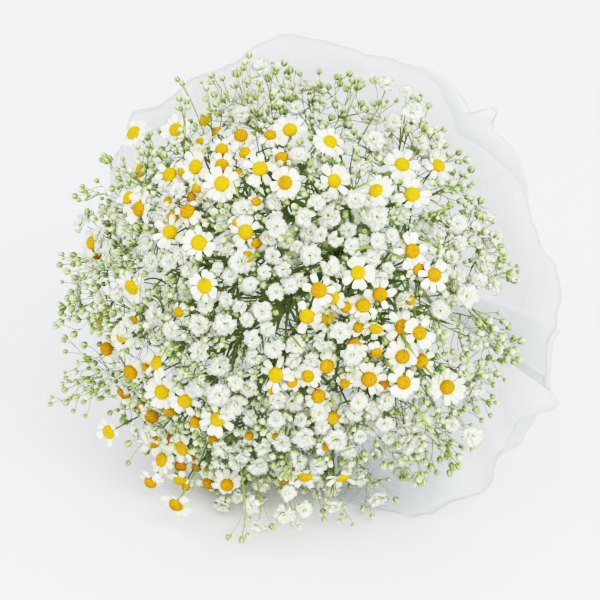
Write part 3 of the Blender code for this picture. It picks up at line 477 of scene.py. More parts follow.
# A bloom at each place read off the photograph, and a few on the side it does not see.
def growDaisies(stems, crowd, rng):
    wanted = [(pixel, 0) for pixel in youngDaisiesPx] + [(pixel, 1) for pixel in amberAndShadedDaisiesPx]
    for i in range(daisySizes["sideCount"]):
        angle = math.radians(140 + 110 * (i + 0.5) / daisySizes["sideCount"])
        wanted.append((domePoint(angle, rng.uniform(-0.1, 0.35), 1.0), i % 2))
    missed = 0
    for seen, age in wanted:
        disc = daisySizes["disc"] * rng.uniform(*room["sizeJitter"])
        petal = daisySizes["petal"] * rng.uniform(*room["sizeJitter"])
        for attempt in range(room["tries"]):
            loose = 1 + attempt * room["looser"]
            grow = 1.0 + rng.uniform(-0.05, 0.04) * loose * (0.6 if age else 1)
            place = onDome(seen, grow) if len(seen) == 2 else seen * 1.0
            place = place + rng.normal(0, 0.35, 3) * mm * (loose - 1)
            normal = unit(domeNormal(place) + rng.normal(0, 0.16, 3))
            index = nearestStem(stems, place)
            stem = stems[index]
            aside = np.hypot(*(place - onStem(stem["place"], place[2] - daisySizes["lookBelow"]))[:2])
            low = place[2] - daisySizes["stalkDrop"] - 0.5 * aside - rng.uniform(0, 9) * mm
            height = min(max(low, daisySizes["lowestStalk"]), stem["top"] - 7 * mm)
            above = place[2] - stem["top"]
            leads = not stem["daisies"] and above > daisySizes["leastLeader"] + 0.4 * aside
            if leads:
                height = stem["top"]
            root, along = stemAt(stem, height)
            end = place - normal * daisySizes["calyx"]
            wobble = rng.normal(0, 1.0, 3) * mm * loose
            curve = stalkCurve(root, along * (1.0 if leads else 0.3), end, normal, wobble)
            daisy = {
                "place": place, "normal": normal, "roll": rng.uniform(0, 2 * math.pi),
                "cup": math.radians(rng.uniform(*daisySizes["cupDeg"])),
                "petals": daisySizes["petalsAmber"] if age else daisySizes["petalsYoung"],
                "disc": disc, "petal": petal, "age": age, "curve": curve, "path": bezier(curve, 3),
            }
            capsules = daisyCapsules(daisy)
            if crowd.free(index, capsules):
                crowd.add(index, capsules)
                stem["daisies"].append(daisy)
                break
        else:
            missed += 1
    return missed


# Side branches of each gypsophila stem, from below its top out to where its twigs fork.
def growForks(stems, crowd, rng):
    for index, stem in enumerate(stems):
        if stem["kind"] != "gypsophila":
            continue
        top = onStem(stem["place"], stem["top"])
        along = unit(top - onStem(stem["place"], stem["top"] - mm))
        x, y = sideFrame(along)
        startTurn = rng.uniform(0, 2 * math.pi)
        for i in range(gypSizes["forks"]):
            for _ in range(room["tries"]):
                turn = startTurn + 2 * math.pi * (i + rng.uniform(-0.2, 0.2)) / gypSizes["forks"]
                side = np.cos(turn) * x + np.sin(turn) * y
                fork = top + along * rng.uniform(*gypSizes["forkRise"])
                fork = fork + side * rng.uniform(*gypSizes["forkSide"])
                root = onStem(stem["place"], stem["top"] - gypSizes["forkStep"] * i)
                keep = along * (0.3 if i else 1.0)
                curve = stalkCurve(root, keep, fork, unit(along + side * 0.5), 0)
                path = bezier(curve, 3)
                capsules = pathCapsules(path, stemSizes["stalkRadius"])
                if crowd.free(index, capsules):
                    crowd.add(index, capsules)
                    stem["forks"].append({"curve": curve, "path": path, "balls": []})
                    break


# Florets or buds at wanted places, each on a twig from the nearest fork.
def growBalls(stems, crowd, rng, wanted, kind, radius, out):
    forks = [(i, fork) for i, stem in enumerate(stems) for fork in stem["forks"]]
    places = np.array([fork["path"][-1] for _, fork in forks])
    missed = 0
    for seen in wanted:
        size = radius * rng.uniform(0.86, 1.14)
        for attempt in range(room["tries"]):
            loose = 1 + attempt * room["looser"]
            if len(seen) == 2:
                place = onDome(seen, out + rng.uniform(-0.05, 0.05) * loose)
            else:
                place = seen + rng.normal(0, 0.8, 3) * mm * loose
            place = place + rng.normal(0, 0.35, 3) * mm * (loose - 1)
            normal = unit(domeNormal(place) + rng.normal(0, 0.2, 3))
            reach = np.linalg.norm(places + domeNormal(place) * 20 * mm - place, axis=1)
            load = np.array([len(fork["balls"]) for _, fork in forks])
            choice = int(np.argmin(reach + gypSizes["twigLoad"] * load + rng.uniform(0, 2) * mm * attempt))
            index, fork = forks[choice]
            along = unit(fork["path"][-1] - fork["path"][-2])
            root = fork["path"][-1] - along * gypSizes["twigStep"] * len(fork["balls"])
            along = along * (0.2 if fork["balls"] else 1.0)
            end = place - normal * size * 0.9
            wobble = rng.normal(0, 0.8, 3) * mm * loose
            curve = stalkCurve(root, along, end, normal, wobble)
            ball = {
                "kind": kind, "place": place, "normal": normal, "roll": rng.uniform(0, 2 * math.pi),
                "radius": size, "curve": curve, "path": bezier(curve, 3),
            }
            capsules = ballCapsules(ball)
            if crowd.free(index, capsules):
                crowd.add(index, capsules)
                fork["balls"].append(ball)
                break
        else:
            missed += 1
    return missed


# Even random places over the whole dome, down to a height below its widest ring.
def scattered(rng, count, low, grow):
    places = []
    for i in range(count):
        lift = low + (0.98 - low) * (i + rng.uniform(0, 1)) / count
        places.append(domePoint(i * room["spiral"] + rng.uniform(-0.4, 0.4), lift, grow))
    return places


# A narrow leaf on every other stem, arching outward under the blooms.
def growLeaves(stems, crowd, rng):
    for index, stem in enumerate(stems):
        if index % 2:
            for _ in range(room["tries"] // 2):
                height = stem["top"] - rng.uniform(*leafSizes["belowTop"])
                root, along = stemAt(stem, height)
                side = sideway(along, rng)
                length = rng.uniform(*leafSizes["length"])
                middle = root + (along * 0.8 + side * 0.6) * length * 0.5
                tip = middle + (along * 0.6 + side * 0.8) * length * 0.5
                path = np.array([root, middle, tip])
                capsules = pathCapsules(path, leafSizes["halfWidth"] + 0.2 * mm)
                if crowd.free(index, capsules):
                    crowd.add(index, capsules)
                    stem["leaves"].append({"path": path, "flat": np.cross(side, along)})
                    break


# Every stem with all that grows on it, the same each time.
def growBouquet():
    rng = np.random.default_rng(bunchFacts["seed"])
    stems = growStems(rng)
    crowd = Crowd()
    for index, stem in enumerate(stems):
        crowd.add(index, pathCapsules(stem["path"], stemSizes["radius"]))
    growForks(stems, crowd, rng)
    missed = [growDaisies(stems, crowd, rng)]
    # Both are drawn before either grows, as in the source of the solids
    florets = list(floretsPx) + scattered(rng, gypSizes["extraFlorets"], -0.25, 1.0)
    buds = list(twigBudsPx) + scattered(rng, gypSizes["extraBuds"], -0.2, 1.05)
    for kind, wanted, out in (("floret", florets, 1.0), ("bud", buds, 1.08)):
        missed.append(growBalls(stems, crowd, rng, wanted, kind, gypSizes[kind], out))
    growLeaves(stems, crowd, rng)
    print("places left empty: daisies, florets, buds", missed)
    return stems


# Faces of equal grids of points (count, rows, columns, 3): quads between neighbours, the last
# column joined to the first where closed, the last row to the first where looped, and a fan over
# the first and last row where capped.
# u runs from 0 to 1 round the columns and v from 0 to 1 along the rows. Where thin, the two
# columns at the sides of the lens-shaped section are marked 1 and 2, and stay sharp.
def gridPatch(points, tone=0.0, closed=True, capped=True, looped=False, thin=False):
    count, rows, columns = points.shape[:3]
    across = columns if closed else columns - 1
    along = rows if looped else rows - 1
    i, j = (axis.ravel() for axis in np.meshgrid(np.arange(along), np.arange(across), indexing="ij"))
    row, nextRow, nextColumn = i * columns, (i + 1) % rows * columns, (j + 1) % columns
    quad = np.stack([row + j, row + nextColumn, nextRow + nextColumn, nextRow + j], axis=-1)
    left, right, low, high = j / across, (j + 1) / across, i / along, (i + 1) / along
    quadUv = np.stack([left, low, right, low, right, high, left, high], axis=-1).reshape(-1, 4, 2)
    k = np.arange(1, columns - 1)
    zero = np.zeros_like(k)
    first = np.stack([zero, k + 1, k], axis=-1)
    last = np.stack([zero, k, k + 1], axis=-1) + (rows - 1) * columns
    tri = np.vstack([first, last]) if capped else np.zeros((0, 3), int)
    triUv = np.zeros((len(tri), 3, 2))
    triUv[..., 0] = (tri % columns) / columns
    triUv[len(tri) // 2:, :, 1] = 1
    shift = (np.arange(count) * rows * columns)[:, None, None]
    side = np.zeros(columns, int)
    if thin:
        side[0], side[columns // 2] = 1, 2
    return {
        "points": points.reshape(-1, 3),
        "quads": (quad[None] + shift).reshape(-1, 4),
        "quadUv": np.tile(quadUv, (count, 1, 1)),
        "tris": (tri[None] + shift).reshape(-1, 3),
        "triUv": np.tile(triUv, (count, 1, 1)),
        "tone": np.broadcast_to(tone, (count, rows, columns)).reshape(-1).astype(float),
        "side": np.tile(side, count * rows),
    }


# Several patches as one, with their point numbers moved on.
def joinPatches(patches):
    starts = np.cumsum([0] + [len(patch["points"]) for patch in patches])
    joined = {key: np.concatenate([patch[key] for patch in patches])
              for key in ("points", "quadUv", "triUv", "tone", "side")}
    for key in ("quads", "tris"):
        joined[key] = np.concatenate([patch[key] + start for patch, start in zip(patches, starts)])
    return joined


# Copies of a patch at many places: each point is place + size * (x, y, z along the place's axes).
def copiesOf(patch, places, axes, sizes, tones):
    count, own = len(places), len(patch["points"])
    moved = np.einsum("nj,kjc->knc", patch["points"], axes) * np.reshape(sizes, (-1, 1, 1))
    shift = (np.arange(count) * own)[:, None, None]
    return {
        "points": (moved + places[:, None]).reshape(-1, 3),
        "quads": (patch["quads"][None] + shift).reshape(-1, 4),
        "quadUv": np.tile(patch["quadUv"], (count, 1, 1)),
        "tris": (patch["tris"][None] + shift).reshape(-1, 3),
        "triUv": np.tile(patch["triUv"], (count, 1, 1)),
        "tone": (patch["tone"][None] + np.reshape(tones, (-1, 1))).ravel(),
        "side": np.tile(patch["side"], count),
    }


# Axes for many blooms: z along the normal, x and y square to it and turned by the roll.
def axesFor(normals, rolls):
    helper = np.where(np.abs(normals[:, 1:2]) < 0.9, [[0.0, 1, 0]], [[1.0, 0, 0]])
    x = unit(np.cross(helper, normals))
    y = np.cross(normals, x)
    cos, sin = np.cos(rolls)[:, None], np.sin(rolls)[:, None]
    return np.stack([cos * x + sin * y, cos * y - sin * x, normals], axis=1)


# Rings carried along paths (count, steps, 3): at each step a ring stands square to the path, and
# its first point is carried on from the ring before, so that the tube doesn't twist.
def tubePoints(paths, radii, columns):
    along = unit(np.gradient(paths, axis=1))
    helper = np.where(np.abs(along[:, 0, 1:2]) < 0.9, [[0.0, 1, 0]], [[1.0, 0, 0]])
    sides = [unit(np.cross(helper, along[:, 0]))]
    for i in range(1, paths.shape[1]):
        leaning = (sides[-1] * along[:, i]).sum(axis=-1, keepdims=True)
        sides.append(unit(sides[-1] - leaning * along[:, i]))
    x = np.stack(sides, axis=1)[:, :, None]
    y = np.cross(along, x[:, :, 0])[:, :, None]
    turn = circle(columns)[:, None]
    radii = np.broadcast_to(radii, paths.shape[:2])[..., None, None]
    return paths[:, :, None] + radii * (np.cos(turn) * x + np.sin(turn) * y)


def tubes(paths, radii, columns, tone=0.0):
    tone = np.reshape(np.broadcast_to(tone, (len(paths),)), (-1, 1, 1))
    return gridPatch(tubePoints(paths, radii, columns), tone)


# A new object of the scene.
def newObject(name, data):
    item = bpy.data.objects.new(name, data)
    bpy.context.scene.collection.objects.link(item)
    return item


# A patch in bouquet coordinates becomes a mesh in the frame's place, with a uv map and a tone.
def makePiece(name, patch, material, nodes):
    points = toWorld(patch["points"]) + frameShift
    quads, tris = patch["quads"], patch["tris"]
    mesh = bpy.data.meshes.new(name)
    mesh.vertices.add(len(points))
    mesh.vertices.foreach_set("co", points.astype(np.float32).ravel())
    corners = np.concatenate([quads.ravel(), tris.ravel()]).astype(np.int32)
    totals = np.concatenate([np.full(len(quads), 4), np.full(len(tris), 3)])
    mesh.loops.add(len(corners))
    mesh.polygons.add(len(totals))
    mesh.loops.foreach_set("vertex_index", corners)
    mesh.polygons.foreach_set("loop_start", (np.cumsum(totals) - totals).astype(np.int32))
    mesh.polygons.foreach_set("use_smooth", np.ones(len(totals), bool))
    uv = mesh.uv_layers.new(name="UVMap")
    cornerUv = np.concatenate([patch["quadUv"].reshape(-1, 2), patch["triUv"].reshape(-1, 2)])
    uv.data.foreach_set("uv", cornerUv.astype(np.float32).ravel())
    tone = mesh.attributes.new("tone", "FLOAT", "POINT")
    tone.data.foreach_set("value", patch["tone"].astype(np.float32))
    mesh.update(calc_edges=True)
    ends = np.empty(len(mesh.edges) * 2, np.int32)
    mesh.edges.foreach_get("vertices", ends)
    sides = patch["side"][ends.reshape(-1, 2)]
    sharp = mesh.attributes.new("sharp_edge", "BOOLEAN", "EDGE")
    sharp.data.foreach_set("value", (sides[:, 0] == sides[:, 1]) & (sides[:, 0] > 0))
    mesh.validate()
    mesh.materials.append(material)
    piece = newObject(name, mesh)
    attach(piece, "root")
    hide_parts(*nodes)
    return piece


# A shader tree, with short calls for the nodes that the materials share.
class Paint:

    def __init__(self, tree):
        self.tree = tree

    # A number, a colour or another node's output goes into a socket.
    def feed(self, socket, value):
        if isinstance(value, bpy.types.NodeSocket):
            self.tree.links.new(value, socket)
        else:
            socket.default_value = (*value, 1) if socket.type == "RGBA" else value

    def node(self, kind, inputs=None, **settings):
        node = self.tree.nodes.new("ShaderNode" + kind)
        for key, value in settings.items():
            setattr(node, key, value)
        for key, value in (inputs or {}).items():
            self.feed(node.inputs[key], value)
        return node.outputs

    def math(self, operation, a, b=0.0, c=0.0):
        return self.node("Math", {0: a, 1: b, 2: c}, operation=operation)[0]

    def mix(self, share, low, high, **settings):
        return self.node("Mix", {0: share, 6: low, 7: high}, data_type="RGBA", **settings)[2]

    # How far a value has come from one limit to the other, from 0 to 1.
    def ramp(self, value, low, high):
        return self.node("MapRange", {"Value": value, "From Min": low, "From Max": high})[0]

    def place(self, space="Object"):
        return self.node("TexCoord")[space]

    # The way round a patch (0) or along it (1), from 0 to 1.
    def uv(self, axis):
        return self.node("SeparateXYZ", {0: self.place("UV")})[axis]

    def tone(self):
        return self.node("Attribute", attribute_name="tone")["Fac"]

    def noise(self, scale, detail, **more):
        inputs = {"Vector": self.place(), "Scale": scale, "Detail": detail, **more}
        return self.node("TexNoise", inputs)["Fac"]

    def mottle(self, low, high, scale, **more):
        return self.node("Group", {"Low": low, "High": high, "Scale": scale, **more}, node_tree=mottled)

    def ribs(self, count, scale, share):
        inputs = {"Count": count, "Noise Scale": scale, "Noise Share": share}
        return self.node("Group", inputs, node_tree=ribbed)

    # The colour, and the height with its relief: the bump's strength and its depth.
    def finish(self, colour, height, relief):
        self.feed(self.shader["Base Color"], colour)
        bump = self.node("Bump", {"Height": height, "Strength": relief[0], "Distance": relief[1]})
        self.feed(self.shader["Normal"], bump[0])
        return self.material


# A new shader group with its inputs as (name, kind, value) and its outputs as (name, kind).
def newGroup(name, inputs, outputs):
    group = bpy.data.node_groups.new(name, "ShaderNodeTree")
    for label, kind, value in inputs:
        socket = group.interface.new_socket(name=label, in_out="INPUT", socket_type="NodeSocket" + kind)
        socket.default_value = value
    for label, kind in outputs:
        group.interface.new_socket(name=label, in_out="OUTPUT", socket_type="NodeSocket" + kind)
    given, out = group.nodes.new("NodeGroupInput"), group.nodes.new("NodeGroupOutput")
    return group, Paint(group), given.outputs, out.inputs


# Soft uneven colour: noise in object space slides between two colours.
def mottleGroup():
    group, paint, given, out = newGroup("mottle", [
        ("Low", "Color", (0, 0, 0, 1)), ("High", "Color", (1, 1, 1, 1)),
        ("Scale", "Float", 300), ("Detail", "Float", 3),
    ], [("Color", "Color"), ("Mask", "Float")])
    mask = paint.ramp(paint.noise(given["Scale"], given["Detail"]), 0.32, 0.68)
    paint.feed(out["Color"], paint.mix(mask, given["Low"], given["High"]))
    paint.feed(out["Mask"], mask)
    return group


# Ribs along a piece: a wave round u, count times, with a fine noise over it, as a height and a mask.
def ribsGroup():
    group, paint, given, out = newGroup("ribs", [
        ("Count", "Float", 6), ("Noise Scale", "Float", 900), ("Noise Share", "Float", 0.3),
    ], [("Height", "Float"), ("Mask", "Float")])
    turns = paint.math("MULTIPLY", paint.uv(0), given["Count"])
    wave = paint.math("SINE", paint.math("MULTIPLY", turns, 2 * math.pi))
    mask = paint.math("MULTIPLY_ADD", wave, 0.5, 0.5)
    grain = paint.math("MULTIPLY", paint.noise(given["Noise Scale"], 2), given["Noise Share"])
    paint.feed(out["Height"], paint.math("ADD", mask, grain))
    paint.feed(out["Mask"], mask)
    return group


mottled, ribbed = mottleGroup(), ribsGroup()


def newMaterial(name, roughness, extras=None):
    material = bpy.data.materials.new(name)
    material.use_nodes = True
    paint = Paint(material.node_tree)
    paint.material, paint.shader = material, material.node_tree.nodes["Principled BSDF"].inputs
    for key, value in {"Roughness": roughness, **(extras or {})}.items():
        paint.feed(paint.shader[key], value)
    return paint


softPetal = {
    "Subsurface Weight": 0.5, "Subsurface Scale": 0.0005, "Subsurface Radius": (1.0, 1.0, 0.9),
    "Specular IOR Level": 0.2,
}


# Petals: white mottled with painted green-tinged shade, with stripes of painted shade along the faint
# grooves. They are greener and darker at the root, partly the petal's own tinge and partly painted shade
# beside the disc.
def petalMaterial():
    look = {"white": (0.90, 0.92, 0.81), "shade": (0.80, 0.85, 0.63), "root": (0.60, 0.69, 0.28),
            "relief": (0.35, 0.12 * mm)}
    paint = newMaterial("petalWhite", 0.7, softPetal)
    # A mottle of white and painted shade, tinged green like bounce light
    base = paint.mottle(look["shade"], look["white"], 350)["Color"]
    groove = paint.ribs(8, 1500, 0.4)
    # Stripes of painted shade along the ribs of the bump
    ribShadePainted = paint.mix(paint.math("MULTIPLY", groove["Mask"], 0.5), base, look["shade"])
    # Towards the root: partly the petal's own green-yellow tinge, partly painted shade beside the disc
    colour = paint.mix(paint.ramp(paint.uv(1), 0.02, 0.34), look["root"], ribShadePainted)
    return paint.finish(colour, groove["Height"], look["relief"])


# Discs: close pebbles with painted shade in the crevices between them, bright yellow when young
# (tone 0) and amber when old (tone 1). The amber is partly painted shade.
def discMaterial():
    look = {
        "young": (0.70, 0.46, 0.003), "youngCreviceShade": (0.54, 0.27, 0.001), "old": (0.62, 0.345, 0.001),
        "oldCreviceShade": (0.40, 0.165, 0.001), "pebbles": 1500, "relief": (0.8, 0.25 * mm),
    }
    paint = newMaterial("discYellow", 0.7, {"Specular IOR Level": 0.15})
    pebbles = paint.node("TexVoronoi", {"Vector": paint.place(), "Scale": look["pebbles"]})["Distance"]
    tone = paint.tone()
    # Amber by tone: partly the discs' age, partly painted shade
    top = paint.mix(tone, look["young"], look["old"])
    deep = paint.mix(tone, look["youngCreviceShade"], look["oldCreviceShade"])
    patchy = paint.mottle((0, 0, 0), (1, 1, 1), 420)["Mask"]
    # Painted shade in the crevices between the pebbles, plus random patches
    share = paint.math("ADD", paint.math("MULTIPLY", paint.ramp(pebbles, 0.28, 0.75), 0.75),
                       paint.math("MULTIPLY", patchy, 0.22))
    return paint.finish(paint.mix(share, top, deep), paint.math("SUBTRACT", 1.0, pebbles), look["relief"])


# Gypsophila petals: clean white mottled with painted green-tinged shade, cream-green and darker
# towards each petal's base, partly the floret's own heart and partly painted shade between the layers.
def floretMaterial():
    look = {"white": (0.91, 0.94, 0.82), "shade": (0.81, 0.87, 0.65), "heartAndShade": (0.58, 0.68, 0.30),
            "relief": (0.3, 0.1 * mm)}
    paint = newMaterial("floretWhite", 0.85, softPetal)
    # A mottle of white and painted shade, tinged green like bounce light
    base = paint.mottle(look["shade"], look["white"], 500)["Color"]
    # Towards each petal's base: partly the floret's own green heart, partly painted shade between the
    # layers
    inside = paint.math("MULTIPLY", paint.ramp(paint.uv(1), 0.55, 0.05),
                        paint.math("MULTIPLY_ADD", paint.tone(), 0.5, 0.4))
    groove = paint.ribs(4, 1800, 0.8)["Height"]
    return paint.finish(paint.mix(inside, base, look["heartAndShade"]), groove, look["relief"])


# Buds: round, green at the foot, with five pale stripes that run together at the white tip.
def budMaterial():
    look = {"green": (0.17, 0.24, 0.07), "pale": (0.50, 0.58, 0.28), "tip": (0.80, 0.86, 0.62),
            "spots": (0.75, 0.80, 0.62), "relief": (0.4, 0.1 * mm)}
    paint = newMaterial("budGreen", 0.5, {"Subsurface Weight": 0.15, "Subsurface Scale": 0.001})
    stripes = paint.ribs(5, 900, 0.3)
    striped = paint.mix(stripes["Mask"], look["green"], look["pale"])
    tipShare = paint.math("MULTIPLY", paint.ramp(paint.uv(1), 0.45, 1.0), paint.tone())
    patchy = paint.mottle(look["spots"], (1, 1, 1), 260)["Color"]
    colour = paint.mix(0.8, paint.mix(tipShare, striped, look["tip"]), patchy, blend_type="MULTIPLY")
    return paint.finish(colour, stripes["Height"], look["relief"])


# Stalks: tone 0 is a main stem, tone 1 a fine twig, paler and here and there brown, and tone -1 a
# cut end.
def stalkMaterial():
    look = {
        "stem": (0.13, 0.22, 0.025), "stemPale": (0.25, 0.36, 0.05), "twig": (0.25, 0.33, 0.08),
        "twigBrown": (0.36, 0.36, 0.15), "cut": (0.62, 0.66, 0.38), "relief": (0.4, 0.1 * mm),
    }
    paint = newMaterial("stalkGreen", 0.48)
    main = paint.mottle(look["stem"], look["stemPale"], 60)["Color"]
    fine = paint.mottle(look["twig"], look["twigBrown"], 75)["Color"]
    tone = paint.tone()
    colour = paint.mix(paint.ramp(tone, 0.0, -1.0), paint.mix(tone, main, fine), look["cut"])
    return paint.finish(colour, paint.ribs(7, 1200, 0.5)["Height"], look["relief"])


# Leaves: fine veins along the blade, a paler rib, and patches from grass green to deep green.
def leafMaterial():
    look = {"deep": (0.14, 0.21, 0.03), "fresh": (0.33, 0.42, 0.07), "rib": (0.40, 0.48, 0.14),
            "relief": (0.4, 0.12 * mm)}
    paint = newMaterial("leafGreen", 0.42)
    base = paint.mottle(look["deep"], look["fresh"], 55)["Color"]
    veins = paint.ribs(12, 700, 0.4)
    offMiddle = paint.math("ABSOLUTE", paint.math("SUBTRACT", paint.uv(0), 0.25))
    rib = paint.math("MULTIPLY", paint.ramp(offMiddle, 0.06, 0.0), 0.7)
    paler = paint.mix(paint.math("MULTIPLY", veins["Mask"], 0.18), base, look["rib"])
    return paint.finish(paint.mix(rib, paler, look["rib"]), veins["Height"], look["relief"])


# Wrap: cloudy bluish tissue that lets the table show through, with fine fibres and crinkles.
def wrapMaterial():
    look = {"cloud": (0.92, 0.945, 0.98), "thin": (0.84, 0.875, 0.94), "fibres": 420, "crinkles": 95,
            "relief": (0.45, 0.5 * mm)}
    paint = newMaterial("wrapTissue", 0.42, {"Alpha": 0.27})
    base = paint.mottle(look["thin"], look["cloud"], 28, Detail=5)["Color"]
    fibres = paint.math("MULTIPLY", paint.noise(look["fibres"], 6, Roughness=0.75), 0.6)
    crinkles = paint.node("TexVoronoi", {"Vector": paint.place(), "Scale": look["crinkles"]},
                          feature="DISTANCE_TO_EDGE")["Distance"]
    crease = paint.math("MULTIPLY", paint.ramp(crinkles, 0.0, 0.12), 0.35)
    return paint.finish(base, paint.math("ADD", fibres, crease), look["relief"])


# Ribbon: satin threads across and along, with a soft sheen.
def ribbonMaterial():
    look = {"light": (0.50, 0.57, 0.70), "shade": (0.38, 0.45, 0.60), "threads": 260,
            "relief": (0.25, 0.08 * mm)}
    paint = newMaterial("ribbonSatin", 0.3, {
        "Sheen Weight": 0.4, "Sheen Roughness": 0.35, "Specular IOR Level": 0.6})
    base = paint.mottle(look["shade"], look["light"], 45)["Color"]
    warp = paint.math("SINE", paint.math("MULTIPLY", paint.uv(0), look["threads"] * 2 * math.pi))
    weft = paint.math("SINE", paint.math("MULTIPLY", paint.uv(1), look["threads"] * math.pi))
    height = paint.math("ADD", warp, paint.math("MULTIPLY", weft, 0.5))
    return paint.finish(base, height, look["relief"])


# Twine: straw-brown plies with darker hollows and stray fibres.
def twineMaterial():
    look = {"straw": (0.46, 0.34, 0.18), "hollow": (0.24, 0.16, 0.08), "relief": (0.6, 0.15 * mm)}
    paint = newMaterial("twine", 0.85)
    base = paint.mottle(look["hollow"], look["straw"], 900)["Color"]
    return paint.finish(base, paint.ribs(14, 2500, 1.0)["Height"], look["relief"])


# Petals on a grid: v runs along a petal and a turns round its lens-shaped section. A point lies
# length * v along, half * width(v) * cos(a) aside, and off by the thickness * sin(a), plus a cup
# that grows with the square of the way aside, a curl with v squared and a twist from side to side.
def petalGrid(root, outward, lift, length, half, shape, curl=0.0, twist=0.0):
    v = np.linspace(0, 1, shape["rows"])[:, None]
    a = circle(shape["columns"])[None]
    width = np.interp(v, shape["widthAt"], shape["width"])
    aside = np.cos(a) * width
    spare = 1 - np.cos(a) ** 2
    length, half, curl, twist = (
        np.broadcast_to(value, (len(root),))[:, None, None] for value in (length, half, curl, twist)
    )
    along = length * (v - shape["notch"] * spare * v**6)
    ripple = shape["ripple"] * np.sin(np.cos(a) * 7 + twist * 9) * v**2
    off = half * (shape["cup"] * aside**2 + twist * aside * v + ripple) + length * curl * v**2
    off = off + shape["thick"] * np.sin(a) * np.sqrt(width) * (1 - 0.55 * v)
    side = np.cross(lift, outward)
    return (
        root[:, None, None]
        + outward[:, None, None] * along[..., None]
        + side[:, None, None] * (half * aside)[..., None]
        + lift[:, None, None] * off[..., None]
    )


daisyLook = {
    "petals": {
        "rows": 7, "columns": 8, "thick": 0.12 * mm, "cup": -0.10, "notch": 0.08, "ripple": 0.10,
        "widthAt": (0, 0.2, 0.5, 0.78, 0.92, 1), "width": (0.45, 0.76, 0.98, 1.0, 0.92, 0.60),
    },
    "count": (8, 13),
    "missing": 0.10,
    "length": (5.8 * mm, 7.5 * mm),
    "half": (1.7 * mm, 2.45 * mm),
    "uneven": 0.2,
    "lean": 0.25,
    "facing": 0.7,
    "hidden": -0.35,
    "root": 0.72,
    "discOut": (0.50, 0.90, 1.0, 0.98, 0.90, 0.77, 0.60, 0.41, 0.22, 0.07),
    "discUp": (-0.36, -0.2, 0.04, 0.30, 0.54, 0.75, 0.89, 0.96, 0.97, 0.93),
    "discShare": 0.92,
    "discTall": 0.62,
    "pebble": 0.035,
    "calyxOut": (0.13, 0.42, 0.68, 0.80, 0.70),
    "calyxUp": (-1.0, -0.86, -0.50, -0.16, -0.08),
    "stalk": (0.62 * mm, 0.45 * mm),
}


# Smaller daisies half hidden by the rest, as disc centres in the photograph, the disc's size as
# a share of a full one, and the age: most are old and golden, with petals that hang down. Their
# gold is partly painted shade.
lateDaisiesPx = (
    (217, 132, 0.75, 0.2), (200, 142, 0.6, 0.3), (222, 150, 0.9, 0.6), (245, 153, 0.85, 0.5),
    (222, 166, 0.95, 0.9), (183, 172, 0.75, 0.7), (238, 174, 0.75, 0.6), (197, 188, 0.7, 0.5),
    (270, 136, 0.85, 0.9), (282, 159, 0.95, 0.9), (192, 197, 0.7, 0.9), (286, 192, 0.7, 0.8),
    (256, 202, 0.65, 0.9), (168, 201, 0.6, 0.8), (173, 217, 0.8, 0.9), (236, 223, 0.55, 0.6),
    (256, 243, 0.75, 0.7), (247, 257, 0.85, 0.8), (333, 297, 1.0, 0.1), (327, 318, 0.9, 0.9),
    (346, 307, 0.75, 1.0), (363, 306, 1.0, 0.6), (358, 327, 0.75, 1.0), (354, 346, 0.95, 0.9),
    (401, 342, 0.85, 0.7), (376, 352, 0.8, 0.9), (308, 376, 0.85, 0.8), (292, 382, 0.75, 0.7),
    (383, 383, 0.85, 0.9), (397, 389, 0.65, 0.8), (332, 418, 0.95, 0.5), (418, 269, 0.85, 0.8),
    (326, 446, 0.7, 0.9), (272, 390, 0.6, 0.6), (276, 436, 0.6, 0.9), (179, 312, 0.7, 0.8),
    (146, 367, 0.65, 0.9), (142, 406, 0.8, 0.9), (170, 410, 0.95, 0.8), (196, 422, 0.85, 0.9),
    (214, 440, 0.8, 0.9), (194, 455, 0.8, 1.0), (162, 460, 1.0, 0.2), (181, 466, 0.85, 0.8),
    (197, 467, 0.7, 0.9), (186, 487, 0.65, 0.9), (249, 436, 0.6, 0.9), (243, 152, 0.7, 0.9),
    (133, 320, 0.6, 0.8), (121, 392, 0.6, 0.9), (345, 383, 0.7, 0.9), (410, 300, 0.7, 0.8),
)
lateLook = {
    "seed": 3,
    "tries": 8,
    "grow": (0.93, 0.985),
    "apart": 8.2 * mm,
    "deeper": 0.015,
    "petal": 0.86,
    "cupDeg": (-62, -8),
}


# The half hidden daisies, each on a stalk from the nearest daisy stem and behind those it meets.
def growLateDaisies(stems):
    look = lateLook
    rng = np.random.default_rng(look["seed"])
    for x, y, size, age in lateDaisiesPx:
        placed = np.array([daisy["place"] for stem in stems for daisy in stem["daisies"]])
        grow = rng.uniform(*look["grow"])
        for _ in range(look["tries"]):
            place = onDome((x, y), grow)
            if np.linalg.norm(placed - place, axis=-1).min() > look["apart"]:
                break
            grow -= look["deeper"]
        normal = unit(domeNormal(place) + rng.normal(0, 0.28, 3))
        stem = stems[nearestStem(stems, place)]
        height = min(max(place[2] - daisySizes["stalkDrop"] - rng.uniform(0, 12) * mm,
                         daisySizes["lowestStalk"]), stem["top"] - 5 * mm)
        root, along = stemAt(stem, height)
        end = place - normal * daisySizes["calyx"] * size
        stem["daisies"].append({
            "place": place, "normal": normal, "disc": daisySizes["disc"] * size, "age": age,
            "cup": math.radians(rng.uniform(*look["cupDeg"])) * age, "late": look["petal"] * size,
            "curve": stalkCurve(root, along * 0.3, end, normal, rng.normal(0, 1, 3) * mm),
        })


